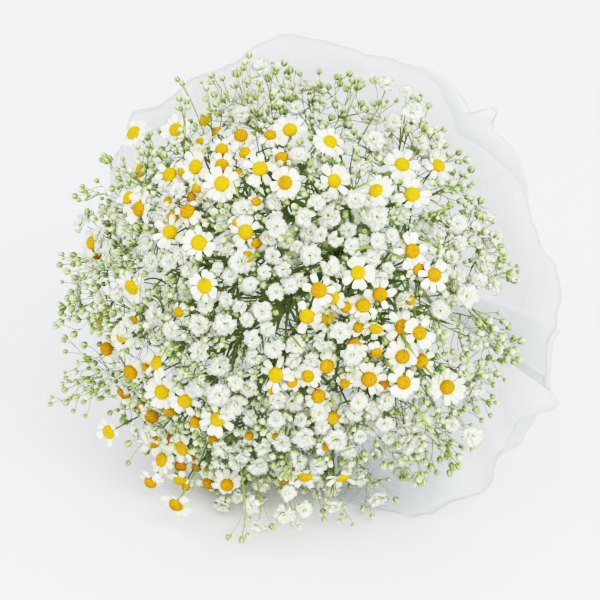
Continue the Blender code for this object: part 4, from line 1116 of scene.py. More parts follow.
# Every bloom leans a little off its stem's way, and on the side that the photograph sees partly
# towards the eye. The end of its stalk bends with it.
def leanDaisies(stems, rng):
    look = daisyLook
    view = -unit(sightLine(viewFacts["headPx"]))
    for stem in stems:
        for daisy in stem["daisies"]:
            curve = daisy["curve"] = np.array(daisy["curve"])
            gap = np.linalg.norm(daisy["place"] - curve[3])
            reach = np.linalg.norm(curve[3] - curve[2])
            facing = daisy["normal"] @ view
            pull = look["facing"] * np.clip(1.15 - facing, 0, 1) * (facing > look["hidden"])
            daisy["normal"] = unit(daisy["normal"] + pull * view + rng.normal(0, look["lean"], 3))
            curve[3] = daisy["place"] - daisy["normal"] * gap
            curve[2] = curve[3] - daisy["normal"] * reach


# Grids turned about each place's normal: rings of radius out * disc at a height of up * tall.
def turned(places, axes, out, up, wide, tall, columns, pebble=0.0):
    a = circle(columns)
    checks = (np.arange(len(out))[:, None] + np.arange(columns)) % 2 * 2 - 1
    checks = checks * (np.minimum(out, 0.9) > 0.1)[:, None]
    radius = wide[:, None, None] * out[:, None] * (1 + pebble * checks)
    height = tall[:, None, None] * up[:, None] * (1 + pebble * checks)
    x, y, z = (axes[:, i][:, None, None] for i in range(3))
    return (
        places[:, None, None] + (radius * np.cos(a))[..., None] * x
        + (radius * np.sin(a))[..., None] * y + height[..., None] * z
    )


# The petals, discs and calyxes of the daisies of one spray.
def daisyPatches(daisies, rng):
    look = daisyLook
    place, normal, disc, cup, age = (
        np.array([daisy[key] for daisy in daisies]) for key in ("place", "normal", "disc", "cup", "age")
    )
    late = np.array([daisy.get("late", 1.0) for daisy in daisies])
    axes = axesFor(normal, rng.uniform(0, 2 * math.pi, len(daisies)))
    counts = rng.integers(*look["count"], len(daisies))
    whole = rng.uniform(*look["length"], len(daisies)) * late
    owner = np.repeat(np.arange(len(daisies)), counts)
    order = np.concatenate([np.arange(count) for count in counts])
    kept = rng.uniform(0, 1, len(owner)) > look["missing"]
    owner, order = owner[kept], order[kept]
    turn = (order + rng.normal(0, look["uneven"], len(owner))) * 2 * math.pi / counts[owner]
    x, y, z = (axes[owner, i] for i in range(3))
    flat = np.cos(turn)[:, None] * x + np.sin(turn)[:, None] * y
    droop = (late == 1) * age * rng.uniform(0, 0.7, len(daisies))
    tilt = (cup[owner] - droop[owner] + rng.normal(0, look["uneven"], len(owner)))[:, None]
    outward = flat * np.cos(tilt) + z * np.sin(tilt)
    lift = z * np.cos(tilt) - flat * np.sin(tilt)
    above = np.where(order % 2, 0.25, -0.05)[:, None] * mm
    root = place[owner] + flat * (disc[owner] * look["root"])[:, None] + z * above
    petals = petalGrid(
        root, outward, lift, whole[owner] * rng.uniform(0.9, 1.05, len(owner)),
        rng.uniform(*look["half"], len(owner)) * np.sqrt(late[owner]), look["petals"],
        rng.normal(-0.04, 0.10, len(owner)), rng.normal(0, 0.2, len(owner)))
    disc = disc * look["discShare"]
    discs = turned(place, axes, np.array(look["discOut"]), np.array(look["discUp"]), disc,
                   disc * (look["discTall"] + 0.22 * age), 22, look["pebble"])
    calyx = turned(place, axes, np.array(look["calyxOut"]), np.array(look["calyxUp"]), disc,
                   daisySizes["calyx"] * disc / daisySizes["disc"], 12)
    return (
        gridPatch(petals, thin=True),
        # The disc tone is the age: amber, partly for age and partly as painted shade
        gridPatch(discs, age[:, None, None]),
        gridPatch(calyx, 0.35),
    )


floretLook = {
    "seed": 5,
    "petals": {
        "rows": 4, "columns": 4, "thick": 0.045, "cup": 0.24, "notch": 0.40, "ripple": 0.26,
        "widthAt": (0, 0.45, 0.8, 1), "width": (0.30, 0.85, 1.0, 0.78),
    },
    "deepPetals": {
        "rows": 3, "columns": 4, "thick": 0.05, "cup": 0.3, "notch": 0.2, "ripple": 0.2,
        "widthAt": (0, 0.6, 1), "width": (0.35, 1.0, 0.8),
    },
    # Each layer: petals, degrees from the middle, length, half width, curl
    "layers": (
        (9, 84, 1.02, 0.34, -0.14), (8, 60, 0.99, 0.33, -0.26), (6, 37, 0.92, 0.31, -0.34),
        (3, 13, 0.84, 0.30, -0.32),
    ),
    "deepLayers": ((6, 80, 0.97, 0.46, -0.16), (4, 42, 0.86, 0.42, -0.3)),
    "uneven": (0.24, 15, 0.3),
    "variants": 8,
}


# For petals at turns round an axis, opened by an angle from it: the axis, the way out square to
# it, and each petal's own way out and up.
def openedOut(turn, degrees):
    polar = np.radians(degrees)[:, None]
    flat = ringed(1.0, turn, 0 * turn)
    z = np.array([[0.0, 0, 1]])
    return z, flat, flat * np.sin(polar) + z * np.cos(polar), z * np.sin(polar) - flat * np.cos(polar)


# Double florets of unit radius: layers of frilled petals that open out from one point.
def floretTemplates(rng, layers, petals):
    templates = []
    uneven = floretLook["uneven"]
    for _ in range(floretLook["variants"]):
        grids = []
        for count, degrees, length, half, curl in layers:
            turn = (np.arange(count) + rng.normal(0, uneven[0], count)) * 2 * math.pi / count
            turn = turn + rng.uniform(0, 2 * math.pi)
            z, flat, outward, lift = openedOut(turn, degrees + rng.normal(0, uneven[1], count))
            grids.append(petalGrid(
                flat * 0.08 - z * 0.22, outward, lift, length * rng.uniform(0.84, 1.12, count),
                half * rng.uniform(0.85, 1.15, count), petals,
                curl + rng.normal(0, 0.12, count), rng.normal(0, uneven[2], count)))
        templates.append(gridPatch(np.concatenate(grids), thin=True))
    return templates


budLook = {
    "out": (0.20, 0.80, 1.0, 0.86, 0.50),
    "up": (-1.0, -0.62, 0.05, 0.66, 1.10),
    "lobes": 0.09,
    "tuft": {
        "rows": 3, "columns": 4, "thick": 0.05, "cup": 0.3, "notch": 0.1, "ripple": 0.0,
        "widthAt": (0, 0.6, 1), "width": (0.5, 1.0, 0.6),
    },
}


# A bud of unit radius: rings whose radii and heights follow an egg with its wide end low, with
# five lobes where there are ten columns.
def budTemplate(columns):
    a = circle(columns)
    out, up = np.array(budLook["out"])[:, None], np.array(budLook["up"])[:, None]
    lobe = 1 + budLook["lobes"] * np.cos(5 * a) * (columns == 10)
    return gridPatch(ringed(out * lobe, a, up * (0.9 + 0.1 * lobe))[None])


# The tips of petals that show at the top of a bud about to open, in units of the bud's radius.
def tuftTemplate(rng):
    count = 5
    z, flat, outward, lift = openedOut(circle(count), 24 + rng.normal(0, 8, count))
    root = flat * 0.25 + z * 0.55
    return gridPatch(petalGrid(root, outward, lift, 1.1, 0.55, budLook["tuft"]), thin=True)


leafLook = {
    "blade": {
        "rows": 8, "columns": 4, "thick": 0.12 * mm, "keel": 0.30,
        "widthAt": (0, 0.1, 0.3, 0.5, 0.75, 0.92, 1), "width": (0.16, 0.45, 0.92, 1.0, 0.66, 0.28, 0.06),
    },
    "perStem": 24,
    "length": (20 * mm, 44 * mm),
    "half": (0.5 * mm, 1.3 * mm),
    "belowTop": (-6 * mm, 95 * mm),
    "bracts": 0.6,
    "bractLength": (6 * mm, 13 * mm),
    "bractHalf": (0.5 * mm, 0.9 * mm),
}


# Blades along paths (count, rows, 3): the section is a lens of half * width(v), folded up from its
# middle line by the keel.
def bladeGrid(paths, flats, halves):
    blade = leafLook["blade"]
    v = np.linspace(0, 1, blade["rows"])[:, None]
    a = circle(blade["columns"])[None]
    width = np.interp(v, blade["widthAt"], blade["width"])
    along = unit(np.gradient(paths, axis=1))
    side = unit(flats[:, None] - (flats[:, None] * along).sum(-1, keepdims=True) * along)
    face = np.cross(along, side)
    aside = halves[:, None, None] * np.cos(a) * width
    off = np.abs(aside) * blade["keel"] + blade["thick"] * np.sin(a)
    return paths[:, :, None] + side[:, :, None] * aside[..., None] + face[:, :, None] * off[..., None]


# A curve through a root, a middle and a tip.
def arched(root, middle, tip, count):
    t = np.linspace(0, 1, count)[:, None]
    bend = 2 * middle - (root + tip) / 2
    return (1 - t) ** 2 * root + 2 * t * (1 - t) * bend + t * t * tip


fillLook = {
    "seed": 8,
    # The layout's florets and buds are drawn this much smaller than they are placed
    "shrink": 0.95,
    "besideTries": 12,
    "smallTries": 8,
    "sideFlorets": (2, 4),
    "sideBuds": (1, 4),
    # Shells: tries, lowest lift, least and most growth of the dome
    "shells": ((2200, -0.22, 0.94, 1.03), (900, -0.22, 0.84, 0.94), (450, 0.1, 0.74, 0.86)),
    # Florets thin out over this distance from the larger ones that the layout gives
    "lush": 20 * mm,
    "florets": 0.60,
    "smallGrow": (0.95, 1.02),
    "rimBuds": 0.5,
    # Shares of the tries kept: at the lowest lift, and how fast they grow with the lift
    "kept": (0.06, 0.95),
    # Where the wrap shows between the twigs: direction, half width, and the shares of the shells
    # and of the sprigs kept there
    "airy": (math.radians(-30), math.radians(42), 0.2, 0.4),
    "floret": (3.5 * mm, 5.4 * mm),
    "bud": (1.15 * mm, 2.2 * mm),
    "bloomClear": 9.0 * mm,
    "lateClear": 4.2 * mm,
    "bloomDepth": (-3 * mm, 24 * mm),
    "overlap": 0.12,
    "ballTwig": (0.38 * mm, 0.30 * mm),
    "twig": (0.27 * mm, 0.19 * mm),
    "shortest": 7 * mm,
    "behind": 0.35,
    "tuftShare": 0.3,
    "deepGrow": 0.86,
    # Sprigs that stand out: tries, lowest and highest lift, least and most growth
    "sprigs": ((170, -0.15, 0.45, 1.03, 1.17), (170, 0.40, 0.96, 1.01, 1.08)),
    "sprigGrow": (1.0, 1.1),
    "sprigSides": (1, 4),
    "sprigForks": 0.5,
    "sprigBud": (1.2 * mm, 2.3 * mm),
    "sprigReach": (7 * mm, 17 * mm),
    "forkReach": (4 * mm, 9 * mm),
    "sprigStalk": (26 * mm, 50 * mm),
}


# Sprigs of buds that stand out from the rest, read off the photograph as their furthest buds
sprigsPx = (
    (61, 322), (78, 320), (64, 341), (84, 345), (62, 384), (66, 402), (84, 402), (95, 406),
    (76, 372), (97, 371), (97, 390), (99, 333), (60, 262), (62, 282), (68, 298), (72, 310),
    (80, 246), (86, 236), (128, 463), (90, 356), (74, 334), (110, 415), (494, 328), (504, 337),
    (486, 344), (463, 359), (500, 360), (494, 384), (454, 411), (442, 419), (472, 437), (458, 457),
    (431, 467), (423, 482), (414, 472), (401, 479), (382, 507), (424, 444), (440, 436), (470, 400),
    (480, 372), (248, 63), (236, 71), (222, 77), (213, 78), (207, 87), (185, 85), (173, 108),
    (181, 109), (216, 104), (223, 101), (239, 87), (251, 91), (269, 105), (274, 72), (277, 90),
    (385, 101), (413, 95), (386, 119), (430, 105), (412, 122), (443, 131), (432, 147), (462, 152),
    (421, 154), (451, 182), (479, 216), (484, 231), (479, 247), (460, 201), (360, 88), (340, 84),
    (320, 84), (300, 74), (104, 212), (112, 188), (96, 232), (118, 176), (126, 164), (350, 520),
    (372, 516), (300, 528), (270, 534), (240, 528), (220, 520), (196, 512), (158, 496), (140, 484),
    (515, 362), (497, 350), (478, 362), (466, 374), (489, 402), (462, 446), (447, 456), (437, 472),
    (411, 490), (396, 500), (505, 380), (520, 345), (482, 420), (452, 430), (430, 430), (440, 400),
)


# Small florets between the larger ones, read the same way
smallFloretsPx = (
    (258, 258), (272, 256), (264, 272), (250, 284), (266, 298), (276, 292), (290, 286), (301, 281),
    (308, 265), (322, 254), (331, 262), (341, 272), (248, 298), (283, 270), (236, 286), (226, 300),
    (240, 306), (216, 312), (230, 276), (218, 268), (296, 246), (284, 240), (270, 246), (236, 488),
    (246, 498), (238, 508), (250, 515), (243, 523), (262, 512), (228, 498), (258, 340), (272, 355),
    (278, 402), (291, 402), (266, 410), (250, 418), (300, 420), (318, 430), (360, 400), (372, 408),
    (352, 366), (361, 343), (339, 355), (300, 300), (180, 256), (168, 262), (150, 262), (188, 270),
    (340, 240), (352, 246), (364, 240), (378, 246), (330, 246), (346, 256), (358, 258), (372, 258),
    (392, 236), (400, 248), (236, 462), (258, 470), (283, 472), (300, 462), (320, 465), (345, 470),
    (330, 440), (350, 452), (300, 490), (322, 498), (345, 492), (275, 500), (360, 480), (215, 492),
    (225, 478), (205, 470), (240, 448), (268, 456), (312, 478), (388, 268), (380, 278), (310, 232),
)


# What the small florets and buds must keep clear of: the floor, the wrap, the daisies' faces
# and each other.
class Clearance:

    def __init__(self, daisies, places, sizes):
        self.blooms = np.array([daisy["place"] for daisy in daisies])
        self.facing = np.array([daisy["normal"] for daisy in daisies])
        late = np.array(["late" in daisy for daisy in daisies])
        self.keep = np.where(late, fillLook["lateClear"], fillLook["bloomClear"])
        self.places, self.sizes = places, sizes

    def clear(self, spot, radius, allowed):
        if not roomFor(spot[None], radius):
            return False
        away = spot - self.blooms
        depth = (away * self.facing).sum(-1)
        aside = np.linalg.norm(away - depth[:, None] * self.facing, axis=-1)
        low, high = fillLook["bloomDepth"]
        if ((depth > low) & (depth < high) & (aside < self.keep + radius * 0.6)).any():
            return False
        gaps = np.linalg.norm(spot - self.places, axis=-1) - self.sizes - radius
        return gaps.min() > -allowed * radius

    def take(self, spot, radius):
        self.places = np.vstack([self.places, spot])
        self.sizes = np.append(self.sizes, radius)


# Everything smaller that the gypsophila carries: side florets and buds by each one that the
# layout gives, more at random in shells under the dome, and sprigs of buds that stand out of it.
def fillHead(stems):
    look = fillLook
    rng = np.random.default_rng(look["seed"])
    daisies = [daisy for stem in stems for daisy in stem["daisies"]]
    balls = [(i, ball) for i, stem in enumerate(stems) for fork in stem["forks"] for ball in fork["balls"]]
    space = Clearance(daisies, np.array([ball["place"] for _, ball in balls]),
                      np.array([ball["radius"] * look["shrink"] for _, ball in balls]))
    lush = np.array([ball["place"] for _, ball in balls if ball["kind"] == "floret"])
    twigs = [bezier(ball["curve"], 7)[1:6] for _, ball in balls]
    owners = [np.full(5, i) for i, _ in balls]
    for i, stem in enumerate(stems):
        stem["fill"] = []
        for fork in stem["forks"]:
            twigs.append(bezier(fork["curve"], 5)[1:])
            owners.append(np.full(4, i))
        if stem["forks"]:
            heights = stem["top"] - np.arange(2, 42, 8) * mm
            twigs.append(np.array([onStem(stem["place"], height) for height in heights]))
            owners.append(np.full(len(heights), i))
    twigs, owners = np.vstack(twigs), np.concatenate(owners)

    def grow(owner, spot, normal, radius, kind, root, along, deep=False):
        curve = stalkCurve(root, along, spot - normal * radius * 0.85, normal, rng.normal(0, 0.6, 3) * mm)
        stems[owner]["fill"].append({
            "place": spot, "normal": normal, "radius": radius, "kind": kind, "curve": curve,
            "roll": rng.uniform(0, 2 * math.pi), "tone": rng.uniform(0, 1), "deep": deep,
            "tuft": kind == "bud" and not deep and rng.uniform() < look["tuftShare"],
        })
        space.take(spot, radius)
        return curve

    def inAiry(turn, lift):
        return abs(turn - look["airy"][0]) < look["airy"][1] and lift < 0.5

    def nearestTwig(spot, shortest, longest=1.0):
        reach = spot - twigs
        distance = np.linalg.norm(reach, axis=-1)
        behind = (reach * domeNormal(spot)).sum(-1)
        usable = (distance > shortest) & (distance < longest) & (behind > distance * look["behind"])
        choice = int(np.argmin(np.where(usable, distance, 1.0)))
        return (choice, unit(reach[choice])) if usable.any() else (None, None)

    for owner, ball in balls:
        big = ball["kind"] == "floret"
        stalk = bezier(ball["curve"], 9)
        for _ in range(rng.integers(*(look["sideFlorets"] if big else look["sideBuds"]))):
            kind = "floret" if big and rng.uniform() < 0.6 else "bud"
            radius = rng.uniform(*look[kind])
            for _ in range(look["besideTries"]):
                aside = unit(rng.normal(0, 1, 3))
                aside = unit(aside - ball["normal"] * (aside @ ball["normal"] + rng.uniform(-0.1, 0.5)))
                reach = ball["radius"] + radius * rng.uniform(1.0, 1.8) + (0 if big else 2 * mm)
                spot = ball["place"] + aside * reach
                if space.clear(spot, radius, 0.25):
                    normal = unit(ball["normal"] + aside * 0.7)
                    root = stalk[rng.integers(3, 6)]
                    grow(owner, spot, normal, radius, kind, root, unit(stalk[6] - stalk[4]))
                    break
    for pixel in smallFloretsPx:
        radius = rng.uniform(*look["floret"])
        for _ in range(look["smallTries"]):
            spot = onDome(pixel, rng.uniform(*look["smallGrow"]))
            choice, along = nearestTwig(spot, look["shortest"])
            if choice is not None and space.clear(spot, radius, 0.3):
                normal = unit(domeNormal(spot) + rng.normal(0, 0.25, 3))
                grow(owners[choice], spot, normal, radius, "floret", twigs[choice], along)
                break
    beside = len(space.sizes) - len(balls)

    for tries, lowest, least, most in look["shells"]:
        for _ in range(tries):
            lift, size = rng.uniform(lowest, 0.985), rng.uniform(least, most)
            turn = rng.uniform(-math.pi, math.pi)
            spot = domePoint(turn, lift, size)
            share = look["kept"][0] + look["kept"][1] * (lift - lowest)
            if rng.uniform() > share * (look["airy"][2] if inAiry(turn, lift) else 1):
                continue
            bare = np.linalg.norm(spot - lush, axis=-1).min() / look["lush"]
            share = look["florets"] - bare - look["rimBuds"] * max(1 - lift / 0.5, 0)
            kind = "floret" if rng.uniform() < max(share, 0.10) else "bud"
            radius = rng.uniform(*look[kind])
            if space.clear(spot, radius, look["overlap"]):
                choice, along = nearestTwig(spot, look["shortest"])
                if choice is not None:
                    normal = unit(domeNormal(spot) + rng.normal(0, 0.25, 3))
                    deep = size < look["deepGrow"]
                    grow(owners[choice], spot, normal, radius, kind, twigs[choice], along, deep)
    between = len(space.sizes) - len(balls) - beside

    spots = [onDome(pixel, rng.uniform(*look["sprigGrow"])) for pixel in sprigsPx]
    for tries, lowest, highest, least, most in look["sprigs"]:
        for _ in range(tries):
            turn, lift = rng.uniform(-math.pi, math.pi), rng.uniform(lowest, highest)
            if not inAiry(turn, lift) or rng.uniform() < look["airy"][3]:
                spots.append(domePoint(turn, lift, rng.uniform(least, most)))
    for number, spot in enumerate(spots):
        radius = rng.uniform(*look["sprigBud"])
        choice, along = nearestTwig(spot, *look["sprigStalk"])
        if choice is None or not space.clear(spot, radius, 0.2 if number < len(sprigsPx) else -1.0):
            continue
        normal = unit(domeNormal(spot) + along * 0.6 + rng.normal(0, 0.2, 3))
        stalk = bezier(grow(owners[choice], spot, normal, radius, "bud", twigs[choice], along), 9)
        for _ in range(rng.integers(*look["sprigSides"])):
            small = rng.uniform(*look["sprigBud"])
            aside = unit(np.cross(normal, rng.normal(0, 1, 3)))
            start = rng.integers(3, 8)
            end = stalk[start] + unit(aside + normal * 0.9) * rng.uniform(*look["sprigReach"])
            if space.clear(end, small, 0.0):
                side = bezier(grow(owners[choice], end, unit(normal + aside * 0.6), small, "bud",
                                   stalk[start], unit(stalk[start + 1] - stalk[start]) * 0.7), 9)
                other = unit(np.cross(normal, rng.normal(0, 1, 3)))
                end = side[4] + unit(other + normal) * rng.uniform(*look["forkReach"])
                if rng.uniform() < look["sprigForks"] and space.clear(end, small * 0.9, 0.0):
                    grow(owners[choice], end, unit(normal + other * 0.5), small * 0.9, "bud",
                         side[4], unit(side[5] - side[4]) * 0.6)
    standing = len(space.sizes) - len(balls) - beside - between
    print("small florets and buds: beside", beside, "between", between, "standing out", standing)


# Bright green blades and bare stalks that cross in front of the blooms, read off the photograph as
# both ends in pixels and the half width in millimetres
frontBladesPx = (
    (399, 332, 416, 357, 0.95), (384, 357, 394, 373, 0.7), (419, 361, 437, 380, 0.6),
    (331, 395, 335, 413, 0.6), (326, 313, 332, 327, 0.7), (290, 334, 304, 351, 0.6),
    (143, 141, 168, 161, 0.6), (404, 380, 396, 404, 0.5), (412, 402, 438, 440, 0.5),
    (352, 252, 376, 244, 0.5), (258, 250, 246, 262, 0.8), (352, 190, 376, 178, 0.5),
    (232, 178, 240, 200, 0.5), (203, 274, 204, 284, 0.5), (168, 345, 160, 360, 0.5),
    (430, 214, 452, 206, 0.5), (416, 238, 440, 246, 0.5), (386, 250, 410, 262, 0.5),
)


# One of those blades: it starts inside the head, comes out and bends over.
def frontBlade(blade, rows):
    x0, y0, x1, y1, half = blade
    root, middle, tip = (
        onDome(pixel, grow) for pixel, grow in (
            ((x0, y0), 0.96), (((x0 + x1) / 2, (y0 + y1) / 2), 1.06), ((x1, y1), 1.08)))
    return arched(root, middle, tip, rows), unit(np.cross(tip - root, domeNormal(middle))), 1.3 * half * mm


# The leaves of one stem: those of the layout, more thin ones round it, and bracts at its forks.
def leafPaths(stem, rng):
    look = leafLook
    rows = look["blade"]["rows"]
    blades = [(arched(*leaf["path"], rows), unit(leaf["flat"]), leafSizes["halfWidth"])
              for leaf in stem["leaves"]]

    # One blade that leans out at its root and, from its middle on, bends further out at random
    def addBlade(root, along, length, half, lean, rise, bend=None):
        side = sideway(along, rng)
        long = rng.uniform(*length)
        middle = root + unit(along + side * lean) * long * 0.5
        out = rng.uniform(*bend) if bend else 1.0
        tip = middle + unit(along * rise + side * out) * long * 0.5
        blades.append((arched(root, middle, tip, rows), np.cross(side, along), rng.uniform(*half)))

    for _ in range(look["perStem"]):
        height = stem["top"] - rng.uniform(*look["belowTop"])
        root = onStem(stem["place"], min(height, stem["top"] - 2 * mm))
        addBlade(root, stemAt(stem, height)[1], look["length"], look["half"], 0.35, 0.75, (0.5, 1.1))
    for fork in stem["forks"]:
        if rng.uniform() < look["bracts"]:
            root, before = fork["path"][-1], fork["path"][-2]
            addBlade(root, unit(root - before), look["bractLength"], look["bractHalf"], 0.4, 1.0)
    blades += [frontBlade(blade, rows) for blade in stem.get("front", [])]
    return [np.array(part) for part in zip(*blades)]


stalkLook = {"rows": 26, "sides": 8, "fineRows": 7, "fineSides": 4, "cut": 0.3 * mm}


# The stem of a spray as one smooth tube from its cut end, and straight where it is held.
def stemPatch(stem):
    heights = np.linspace(stemSizes["cutEnds"], stem["top"], stalkLook["rows"])
    heights[0] = stem["path"][0, 2]
    heights = np.insert(heights, 1, heights[0] + stalkLook["cut"])
    heights[2:] = np.maximum(heights[2:], heights[1] + mm)
    share = spread(np.where(heights > 0, 1, -1) * np.maximum(np.abs(heights), stemsHeld))
    path = np.stack([stem["place"][0] * share, stem["place"][1] * share, heights], axis=-1)
    radii = np.interp(heights, [0, stemSizes["bends"][0], stem["top"]],
                      [stemSizes["radius"], stemSizes["upperRadius"], stemSizes["topRadius"]])
    tone = np.where(heights > heights[0], 0.0, -1.0)[:, None]
    return gridPatch(tubePoints(path[None], radii[None], stalkLook["sides"]), tone)


# One spray: its stem, side stalks, blooms, buds and leaves, as up to six pieces.
def buildSpray(name, stem, templates, materials, rng):
    stalks, petals, discs, florets, buds = [stemPatch(stem)], [], [], [], []
    fineRows, fineSides = stalkLook["fineRows"], stalkLook["fineSides"]
    if stem["daisies"]:
        curves = np.array([daisy["curve"] for daisy in stem["daisies"]])
        stalks.append(tubes(bezier(curves, 12), np.linspace(*daisyLook["stalk"], 12), 6, 0.15))
        petal, disc, calyx = daisyPatches(stem["daisies"], rng)
        petals.append(petal)
        discs.append(disc)
        stalks.append(calyx)
    if stem["forks"]:
        curves = np.array([fork["curve"] for fork in stem["forks"]])
        stalks.append(tubes(bezier(curves, 8), np.linspace(0.66, 0.5, 8) * mm, 6, 0.5))
    balls = [ball for fork in stem["forks"] for ball in fork["balls"]]
    for ball in balls:
        ball["tone"], ball["tuft"], ball["deep"] = rng.uniform(0, 1), False, False
        if ball["kind"] == "floret":
            ball["radius"] *= fillLook["shrink"]
    for group, radii in ((balls, fillLook["ballTwig"]), (stem["fill"], fillLook["twig"])):
        if group:
            curves = np.array([ball["curve"] for ball in group])
            thick = np.linspace(*radii, fineRows)
            stalks.append(tubes(bezier(curves, fineRows), thick, fineSides, 1.0))
    balls += stem["fill"]
    for patches, kind in ((florets, "floret"), (buds, "bud"), (florets, "tuft")):
        for deep in (False, True):
            variants = templates[kind, deep]
            own = [ball for ball in balls if ball["deep"] == deep
                   and (ball["tuft"] if kind == "tuft" else ball["kind"] == kind)]
            choice = rng.integers(0, len(variants), len(own))
            for k, variant in enumerate(variants):
                used = [ball for ball, chosen in zip(own, choice) if chosen == k]
                if used:
                    place, normal, size, roll, tone = (
                        np.array([ball[key] for ball in used])
                        for key in ("place", "normal", "radius", "roll", "tone"))
                    patches.append(copiesOf(variant, place, axesFor(normal, roll), size, tone))
    paths, flats, halves = leafPaths(stem, rng)
    leaves = [gridPatch(bladeGrid(paths, flats, halves), thin=True)]
    for part, patches, slotName in (
        ("stalks", stalks, "stalk_green"), ("petals", petals, "petal_white"),
        ("discs", discs, "disc_yellow"), ("florets", florets, "floret_white"),
        ("buds", buds, "bud_green"), ("leaves", leaves, "leaf_green"),
    ):
        if patches:
            makePiece(f"{name}_{part}", joinPatches(patches), materials[slotName], [name])


wrapLook = {
    "round": 330,
    "along": 78,
    "hemRows": 4,
    "edgeColumns": 3,
    "thick": 0.16 * mm,
    # The inner edge, folded back over itself, and how far round the sheet goes from there
    "seam": math.radians(-12),
    "goesRound": math.radians(372),
    "edgeHem": math.radians(2.2),
    "gathers": 47,
    "gatherTie": 0.32 * mm,
    "gatherHeight": 1.3 * mm,
    "gatherFade": 42 * mm,
    "pleats": 19,
    "pleatHeight": 2.6 * mm,
    # Crumples: spacing in millimetres, direction in degrees and height in millimetres
    "crumples": ((73, 24, 2.0), (57, -33, 1.6), (41, 71, 1.1), (29, 112, 0.7), (21, 8, 0.4)),
    "inward": 1.2 * mm,
    "quietEnds": math.radians(20),
    "fillValleys": 0.8,
    # How much further than the layout's the rim reaches, in millimetres, by degrees round the axis
    "reachDeg": (-180, -62, -50, -40, -30, -22, -14, -6, 3, 50, 58, 70, 80, 92, 180),
    "reachMm": (0, 0, 6, 9, 1, 3, 12, 7, 0, 0, 10, 12, 4, 0, 0),
    # Where the rim is turned back inwards: first and last degree and the greatest depth
    "hems": ((27, 66, 16 * mm), (-29, -18, 9 * mm)),
    "hemLeast": 0.15 * mm,
    # Small corners that stick out of the rim: degree, half width in degrees and length
    "tabs": ((47.5, 1.7, 11 * mm), (-14.5, 2.4, 5 * mm)),
    "tabOut": 0.5,
    "edgeCurl": 1.4 * mm,
    "edgeCurlFrom": math.radians(9),
    # The cut, from this surface laid out flat: a fan's width and length, and its area
    "flat": (0.55, 0.34),
    "area": 0.142,
}


# A wave of straight slopes between -1 and 1, as paper folds, with a period of 1.
def folded(x):
    return np.abs(x - np.floor(x) - 0.5) * 4 - 1


# The sheet: columns run round from its inner to its outer edge, and rows from the skirt's end to
# the rim and back inside it for the depth of the hem. The radius is the layout's, with its valleys
# partly filled, plus gathers that fade from the tie, and pleats and crumples that hardly go inward.
def wrapPoints():
    look, sizes = wrapLook, wrapSizes
    hemTurn = np.linspace(look["edgeHem"], 0.1 * look["edgeHem"], look["edgeColumns"])
    turn = np.append(hemTurn, np.linspace(0, look["goesRound"], look["round"]))[:, None]
    doubled = (np.arange(len(turn)) < look["edgeColumns"])[:, None] * 0.7 * mm
    angle = look["seam"] + turn
    degrees = asDegrees(angle)
    rim = rimReach(angle) + np.interp(degrees, look["reachDeg"], look["reachMm"]) * mm
    depth = np.full_like(rim, look["hemLeast"])
    for first, last, deepest in look["hems"]:
        share = np.clip((degrees - first) / (last - first), 0, 1)
        depth = depth + deepest * np.sin(share * math.pi) ** 0.7
    tab = 0.0
    for at, half, length in look["tabs"]:
        tab = tab + length * np.clip(1.4 - np.abs(degrees - at) / half, 0, 1)
    v = np.linspace(0, 1, look["along"])[None]
    k = np.arange(1, look["hemRows"] + 1)[None] / look["hemRows"]
    sTab = rim + tab
    s = sizes["skirtEnd"] + v * (sTab - sizes["skirtEnd"])
    s = np.concatenate([s, sTab - k * (depth + tab)], axis=1)
    inside = np.concatenate([0 * v + 0 * rim, 0.2 * mm + k * (0.1 * mm + 0.1 * depth)], axis=1)
    off = np.maximum(np.abs(s) - sizes["held"], 0)
    quiet = np.clip(np.minimum(turn, turn[-1] - turn) / look["quietEnds"], 0.12, 1)
    rise = 1 - np.exp(-off / (9 * mm))
    gather = folded(look["gathers"] * angle / (2 * math.pi) + 0.35 * np.sin(3 * angle))
    gather = gather * (look["gatherTie"] + look["gatherHeight"] * rise * np.exp(-off / look["gatherFade"]))
    reach = np.clip(off / (120 * mm), 0, 1)
    pleat = folded(look["pleats"] * angle / (2 * math.pi) + 0.8 * np.sin(2 * angle + 0.6) + s / (400 * mm))
    pleat = pleat * look["pleatHeight"] * reach * quiet
    across = angle * 95 * mm
    crumple = 0.0
    for i, (spacing, slant, height) in enumerate(look["crumples"]):
        way = across * math.cos(math.radians(slant)) + s * math.sin(math.radians(slant))
        bend = 0.35 * np.sin(way / (spacing * mm) * 1.7 + s / (33 * mm) + i)
        crumple = crumple + folded(way / (spacing * mm) + bend + 0.37 * i) * height * mm
    creased = np.maximum(pleat + crumple * reach * quiet, -look["inward"])
    wave, low = wrapWaves(angle)
    valley = look["fillValleys"] * sizes["waveHeight"] * np.maximum(-wave, 0) * (1 - low) * reach
    last = np.clip((turn - turn[-1] + look["edgeCurlFrom"]) / look["edgeCurlFrom"], 0, 1)
    curl = look["edgeCurl"] * last**2 * reach
    lap = sizes["lapGap"] * turn / (2 * math.pi)
    tip = look["tabOut"] * np.maximum(s - rim, 0)
    radius = wrapRadius(angle, s) + lap - sizes["wall"] / 2 + gather + creased + valley + curl + tip
    radius = radius - inside - doubled * np.clip(off / (20 * mm), 0, 1)
    return ringed(radius, angle, s)


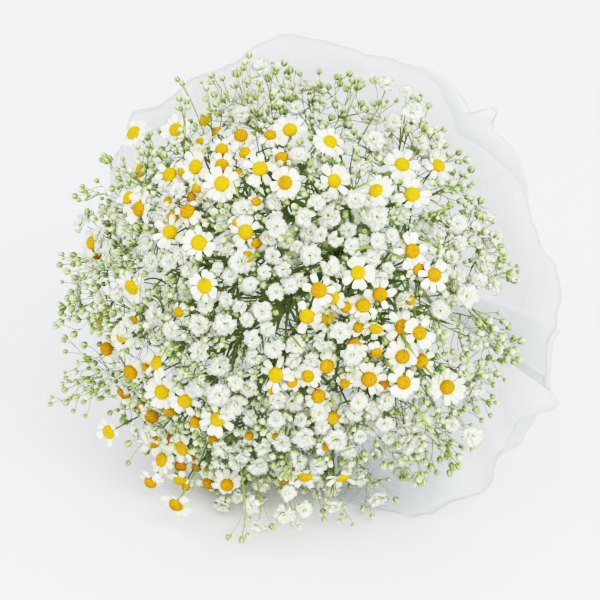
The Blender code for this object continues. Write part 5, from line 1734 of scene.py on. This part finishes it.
def buildWrap(material):
    look = wrapLook
    points = wrapPoints()
    patch = gridPatch(points[None], closed=False, capped=False)
    piece = makePiece("wrap_tissue_sheet", patch, material, ["wrap_sheet"])
    mesh = piece.data
    placed = np.empty(len(mesh.vertices) * 3)
    mesh.vertices.foreach_get("co", placed)
    placed = placed.reshape(-1, 3)
    placed[:, 2] = np.maximum(placed[:, 2], look["thick"] + 0.1 * mm)
    mesh.vertices.foreach_set("co", placed.ravel())
    mesh.update()
    wall = piece.modifiers.new("thickness", "SOLIDIFY")
    wall.thickness = look["thick"]
    wall.offset = 0


ribbonLook = {"rows": 160, "round": 24, "wall": 0.8 * mm, "square": 0.35, "wave": 0.10 * mm}


# A power of a wave that keeps its sign, to square off a section's corners.
def squared(wave, power):
    return np.sign(wave) * np.abs(wave) ** power


# The band: a flat section with round edges carried round the tie, with a slow ripple.
def buildRibbon(material):
    look = ribbonLook
    outside = wrapSizes["waist"] + wrapSizes["wall"] + wrapSizes["lapGap"] * (1 + wrapSizes["lapSteps"])
    inside = (outside + 0.3 * mm) / math.cos(math.pi / tieSizes["ribbonSides"])
    middle = inside + tieSizes["ribbonWall"] / 2
    around = circle(look["rows"])[:, None]
    a = circle(look["round"])[None]
    ripple = look["wave"] * np.sin(7 * around + 1.5 * np.sin(2 * around))
    radius = middle + look["wall"] / 2 * squared(np.cos(a), look["square"]) + ripple
    s = tieSizes["ribbonWidth"] / 2 * squared(np.sin(a), look["square"]) + 0 * radius
    patch = gridPatch(ringed(radius, around, s)[None, :, ::-1], capped=False, looped=True)
    makePiece("wrap_ribbon_band", patch, material, ["wrap_ribbon"])
    return inside + tieSizes["ribbonWall"]


knotLook = {
    "gap": 0.4 * mm,
    "half": np.array([5.6, 3.4, 5.0]) * mm,
    "square": 0.62,
    "turnHalf": 0.42,
    "fanCreases": 11,
    "creases": 0.14,
    "waist": 0.16,
    "end": ((0, 1.6, 0), (11, 3.5, 4), (23, -5, 9), (29, -19, 12)),
    "endHalf": 4.5 * mm,
    "endWall": 0.5 * mm,
    "notch": 4 * mm,
}


# A pulled knot: a rounded block seated on the band, waisted where a turn of ribbon passes over its
# middle, with creases that fan out from there to both sides.
def knotGrid(outer):
    look = knotLook
    polar = np.linspace(-math.pi / 2, math.pi / 2, 34)[:, None]
    a = circle(56)[None]
    flat = squared(np.cos(polar), look["square"])
    x = flat * squared(np.cos(a), look["square"])
    y = flat * squared(np.sin(a), look["square"])
    z = squared(np.sin(polar), look["square"]) + 0 * x
    middle = np.exp(-((x / look["turnHalf"]) ** 4))
    fan = 0.5 + 0.5 * np.cos(look["fanCreases"] * z / (0.55 + 0.6 * np.abs(x)))
    waist = look["waist"] * np.exp(-((np.abs(x) - 0.45) / 0.2) ** 2)
    crease = look["creases"] * fan * (1 - middle) + waist * (1 - middle)
    over = 0.05 * np.cos(7 * x / look["turnHalf"]) * middle
    half = look["half"]
    seat = outer + look["gap"]
    out = seat + np.maximum(y, 0) * half[1] * (1 - crease + over)
    return np.stack([x * half[0], out, z * half[2] * (1 - 0.12 * (1 - middle))], axis=-1)


# The two ends: a smooth path through the layout's points, with a flat section that folds a little
# and a notch cut in its tip.
def ribbonEnds(outer):
    look = knotLook
    seat = np.array([0, outer + look["gap"], 0])
    marks = np.array(look["end"]) * mm
    t = 1 - (1 - np.linspace(0, 1, 40)) ** 1.5
    at = np.linspace(0, 1, len(marks))
    smooth = np.stack([np.polyval(np.polyfit(at, marks[:, i], 3), t) for i in range(3)], axis=-1)
    grids = []
    a = circle(16)
    for side in (-1, 1):
        path = seat + smooth * [side, 1, 1]
        along = unit(np.gradient(path, axis=0))
        wide = unit(np.array([0.0, 0, 1]) - along * along[:, 2:3])
        face = np.cross(along, wide)
        aside = squared(np.cos(a), 0.5)[None] * look["endHalf"] * (1 - 0.25 * np.exp(-t * 9))[:, None]
        fold = 0.35 * mm * np.cos(aside / look["endHalf"] * 5) * np.sin(t * math.pi)[:, None]
        off = look["endWall"] / 2 * squared(np.sin(a), 0.5)[None] + fold
        slant = look["notch"] * (np.abs(aside) / look["endHalf"] - 0.5) * (t**12)[:, None]
        grids.append(path[:, None] + wide[:, None] * aside[..., None] + face[:, None] * off[..., None]
                     + along[:, None] * slant[..., None])
    return np.stack(grids)


def buildKnot(material, outer):
    patches = [gridPatch(knotGrid(outer)[None]), gridPatch(ribbonEnds(outer))]
    makePiece("ribbon_knot_and_ends", joinPatches(patches), material, ["ribbon_knot"])


twineLook = {"turns": 4, "steps": 260, "sides": 12, "ply": 0.2, "twist": 26, "thick": 1.42 * mm}


# Two plies twisted into one: a tube round a helix, whose section is a figure of two lobes that
# turns as it goes along.
def buildTwine(material):
    look = twineLook
    t = np.linspace(0, 1, look["steps"])
    around = t * look["turns"] * 2 * math.pi
    radius = tieSizes["bindingInside"] + look["thick"] / 2
    s = (t - 0.5) * (tieSizes["bindingWidth"] - look["thick"])
    path = ringed(radius, around, s)
    turn = circle(look["sides"])[None]
    lobes = 1 + look["ply"] * np.cos(2 * (turn - (t * look["turns"] * look["twist"])[:, None]))
    grid = tubePoints(path[None], np.ones((1, len(t))), look["sides"]) - path[None, :, None]
    grid = path[None, :, None] + grid * (look["thick"] / 2 / (1 + look["ply"]) * lobes)[None, ..., None]
    makePiece("binding_twine", gridPatch(grid), material, ["stem_binding"])


tieLow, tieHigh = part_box("stem_binding")
frameShift = (np.array(tieLow) + np.array(tieHigh)) / 2 - toWorld((0, 0, 0))

materials = {
    "petal_white": petalMaterial(), "disc_yellow": discMaterial(), "floret_white": floretMaterial(),
    "bud_green": budMaterial(), "stalk_green": stalkMaterial(), "leaf_green": leafMaterial(),
}
print("materials made")

stems = growBouquet()
growLateDaisies(stems)
leanDaisies(stems, np.random.default_rng(lateLook["seed"]))
fillHead(stems)
for blade in frontBladesPx:
    owner = stems[nearestStem(stems, onDome(blade[:2], 0.95))]
    owner.setdefault("front", []).append(blade)
shapes = np.random.default_rng(floretLook["seed"])
templates = {
    ("floret", False): floretTemplates(shapes, floretLook["layers"], floretLook["petals"]),
    ("floret", True): floretTemplates(shapes, floretLook["deepLayers"], floretLook["deepPetals"]),
    ("bud", False): [budTemplate(10)],
    ("bud", True): [budTemplate(6)],
    ("tuft", False): [tuftTemplate(shapes)],
    ("tuft", True): [tuftTemplate(shapes)],
}
numbers = {"daisy": 0, "gypsophila": 0}
for stem in stems:
    numbers[stem["kind"]] += 1
    buildSpray(f"{stem['kind']}_spray_{numbers[stem['kind']]:02d}", stem, templates, materials, shapes)
print("sprays built", numbers)

ribbonSatin = ribbonMaterial()
buildWrap(wrapMaterial())
bandOuter = buildRibbon(ribbonSatin)
buildKnot(ribbonSatin, bandOuter)
buildTwine(twineMaterial())
print("wrap, ribbon, knot and twine built")


stageLook = {
    "floor": (0.80, 0.805, 0.825),
    "world": (0.965, 0.98, 1.0),
    "worldStrength": 1.5,
    # Lights: place, aim, size in metres, watts
    "lights": (
        ((2.0, -2.1, 2.3), (0, 0, 0.1), 3.0, 120),
        ((1.8, -2.4, 0.7), (0, 0, 0.1), 2.4, 22),
        ((-2.4, -1.8, 1.9), (0, 0, 0.1), 2.8, 30),
    ),
    # A camera's response: scene light against the light shown, so that the whites keep their form
    "mostLight": 2.6,
    "response": ((0.188, 0.105), (0.423, 0.345), (0.679, 0.565), (1.15, 0.79), (1.6, 0.90), (2.6, 1.0)),
    "lens": viewFacts["focalPx"] / 600 * 36,
}


# The floor, a pale sky, three soft lights and the curve from scene light to the light shown.
def buildStage():
    look = stageLook
    mesh = bpy.data.meshes.new("floor")
    mesh.from_pydata([(-20, -20, 0), (20, -20, 0), (20, 20, 0), (-20, 20, 0)], [], [(0, 1, 2, 3)])
    paint = newMaterial("floorPaint", 0.55, {"Base Color": look["floor"]})
    mesh.materials.append(paint.material)
    newObject("floor", mesh)
    world = bpy.data.worlds.new("studio")
    world.use_nodes = True
    background = world.node_tree.nodes["Background"]
    background.inputs["Color"].default_value = (*look["world"], 1)
    background.inputs["Strength"].default_value = look["worldStrength"]
    bpy.context.scene.world = world
    for i, (place, aim, size, watts) in enumerate(look["lights"]):
        lamp = bpy.data.lights.new(f"soft{i}", "AREA")
        lamp.size = size
        lamp.energy = watts
        item = newObject(f"soft{i}", lamp)
        item.location = place
        item.rotation_euler = (Vector(place) - Vector(aim)).to_track_quat("Z", "Y").to_euler()
    view = bpy.context.scene.view_settings
    view.view_transform = "Standard"
    view.use_curve_mapping = True
    view.curve_mapping.white_level = (look["mostLight"],) * 3
    points = view.curve_mapping.curves[3].points
    points[1].location = (1, look["response"][-1][1])
    for given, shown in look["response"][:-1]:
        points.new(given / look["mostLight"], shown)
    view.curve_mapping.update()


# The photograph's viewpoint, worked out the way the layout's sight lines are.
def buildCamera():
    data = bpy.data.cameras.new("photoView")
    data.sensor_width = 36
    data.lens = stageLook["lens"]
    data.clip_end = 100
    item = newObject("photoView", data)
    pose = np.eye(4)
    pose[:3, :3] = np.stack(viewAxes(), axis=1)
    pose[:3, 3] = toWorld(eyePlace()) + frameShift
    item.matrix_world = Matrix(pose.tolist())
    bpy.context.scene.camera = item


buildStage()
buildCamera()
print("stage and camera made")
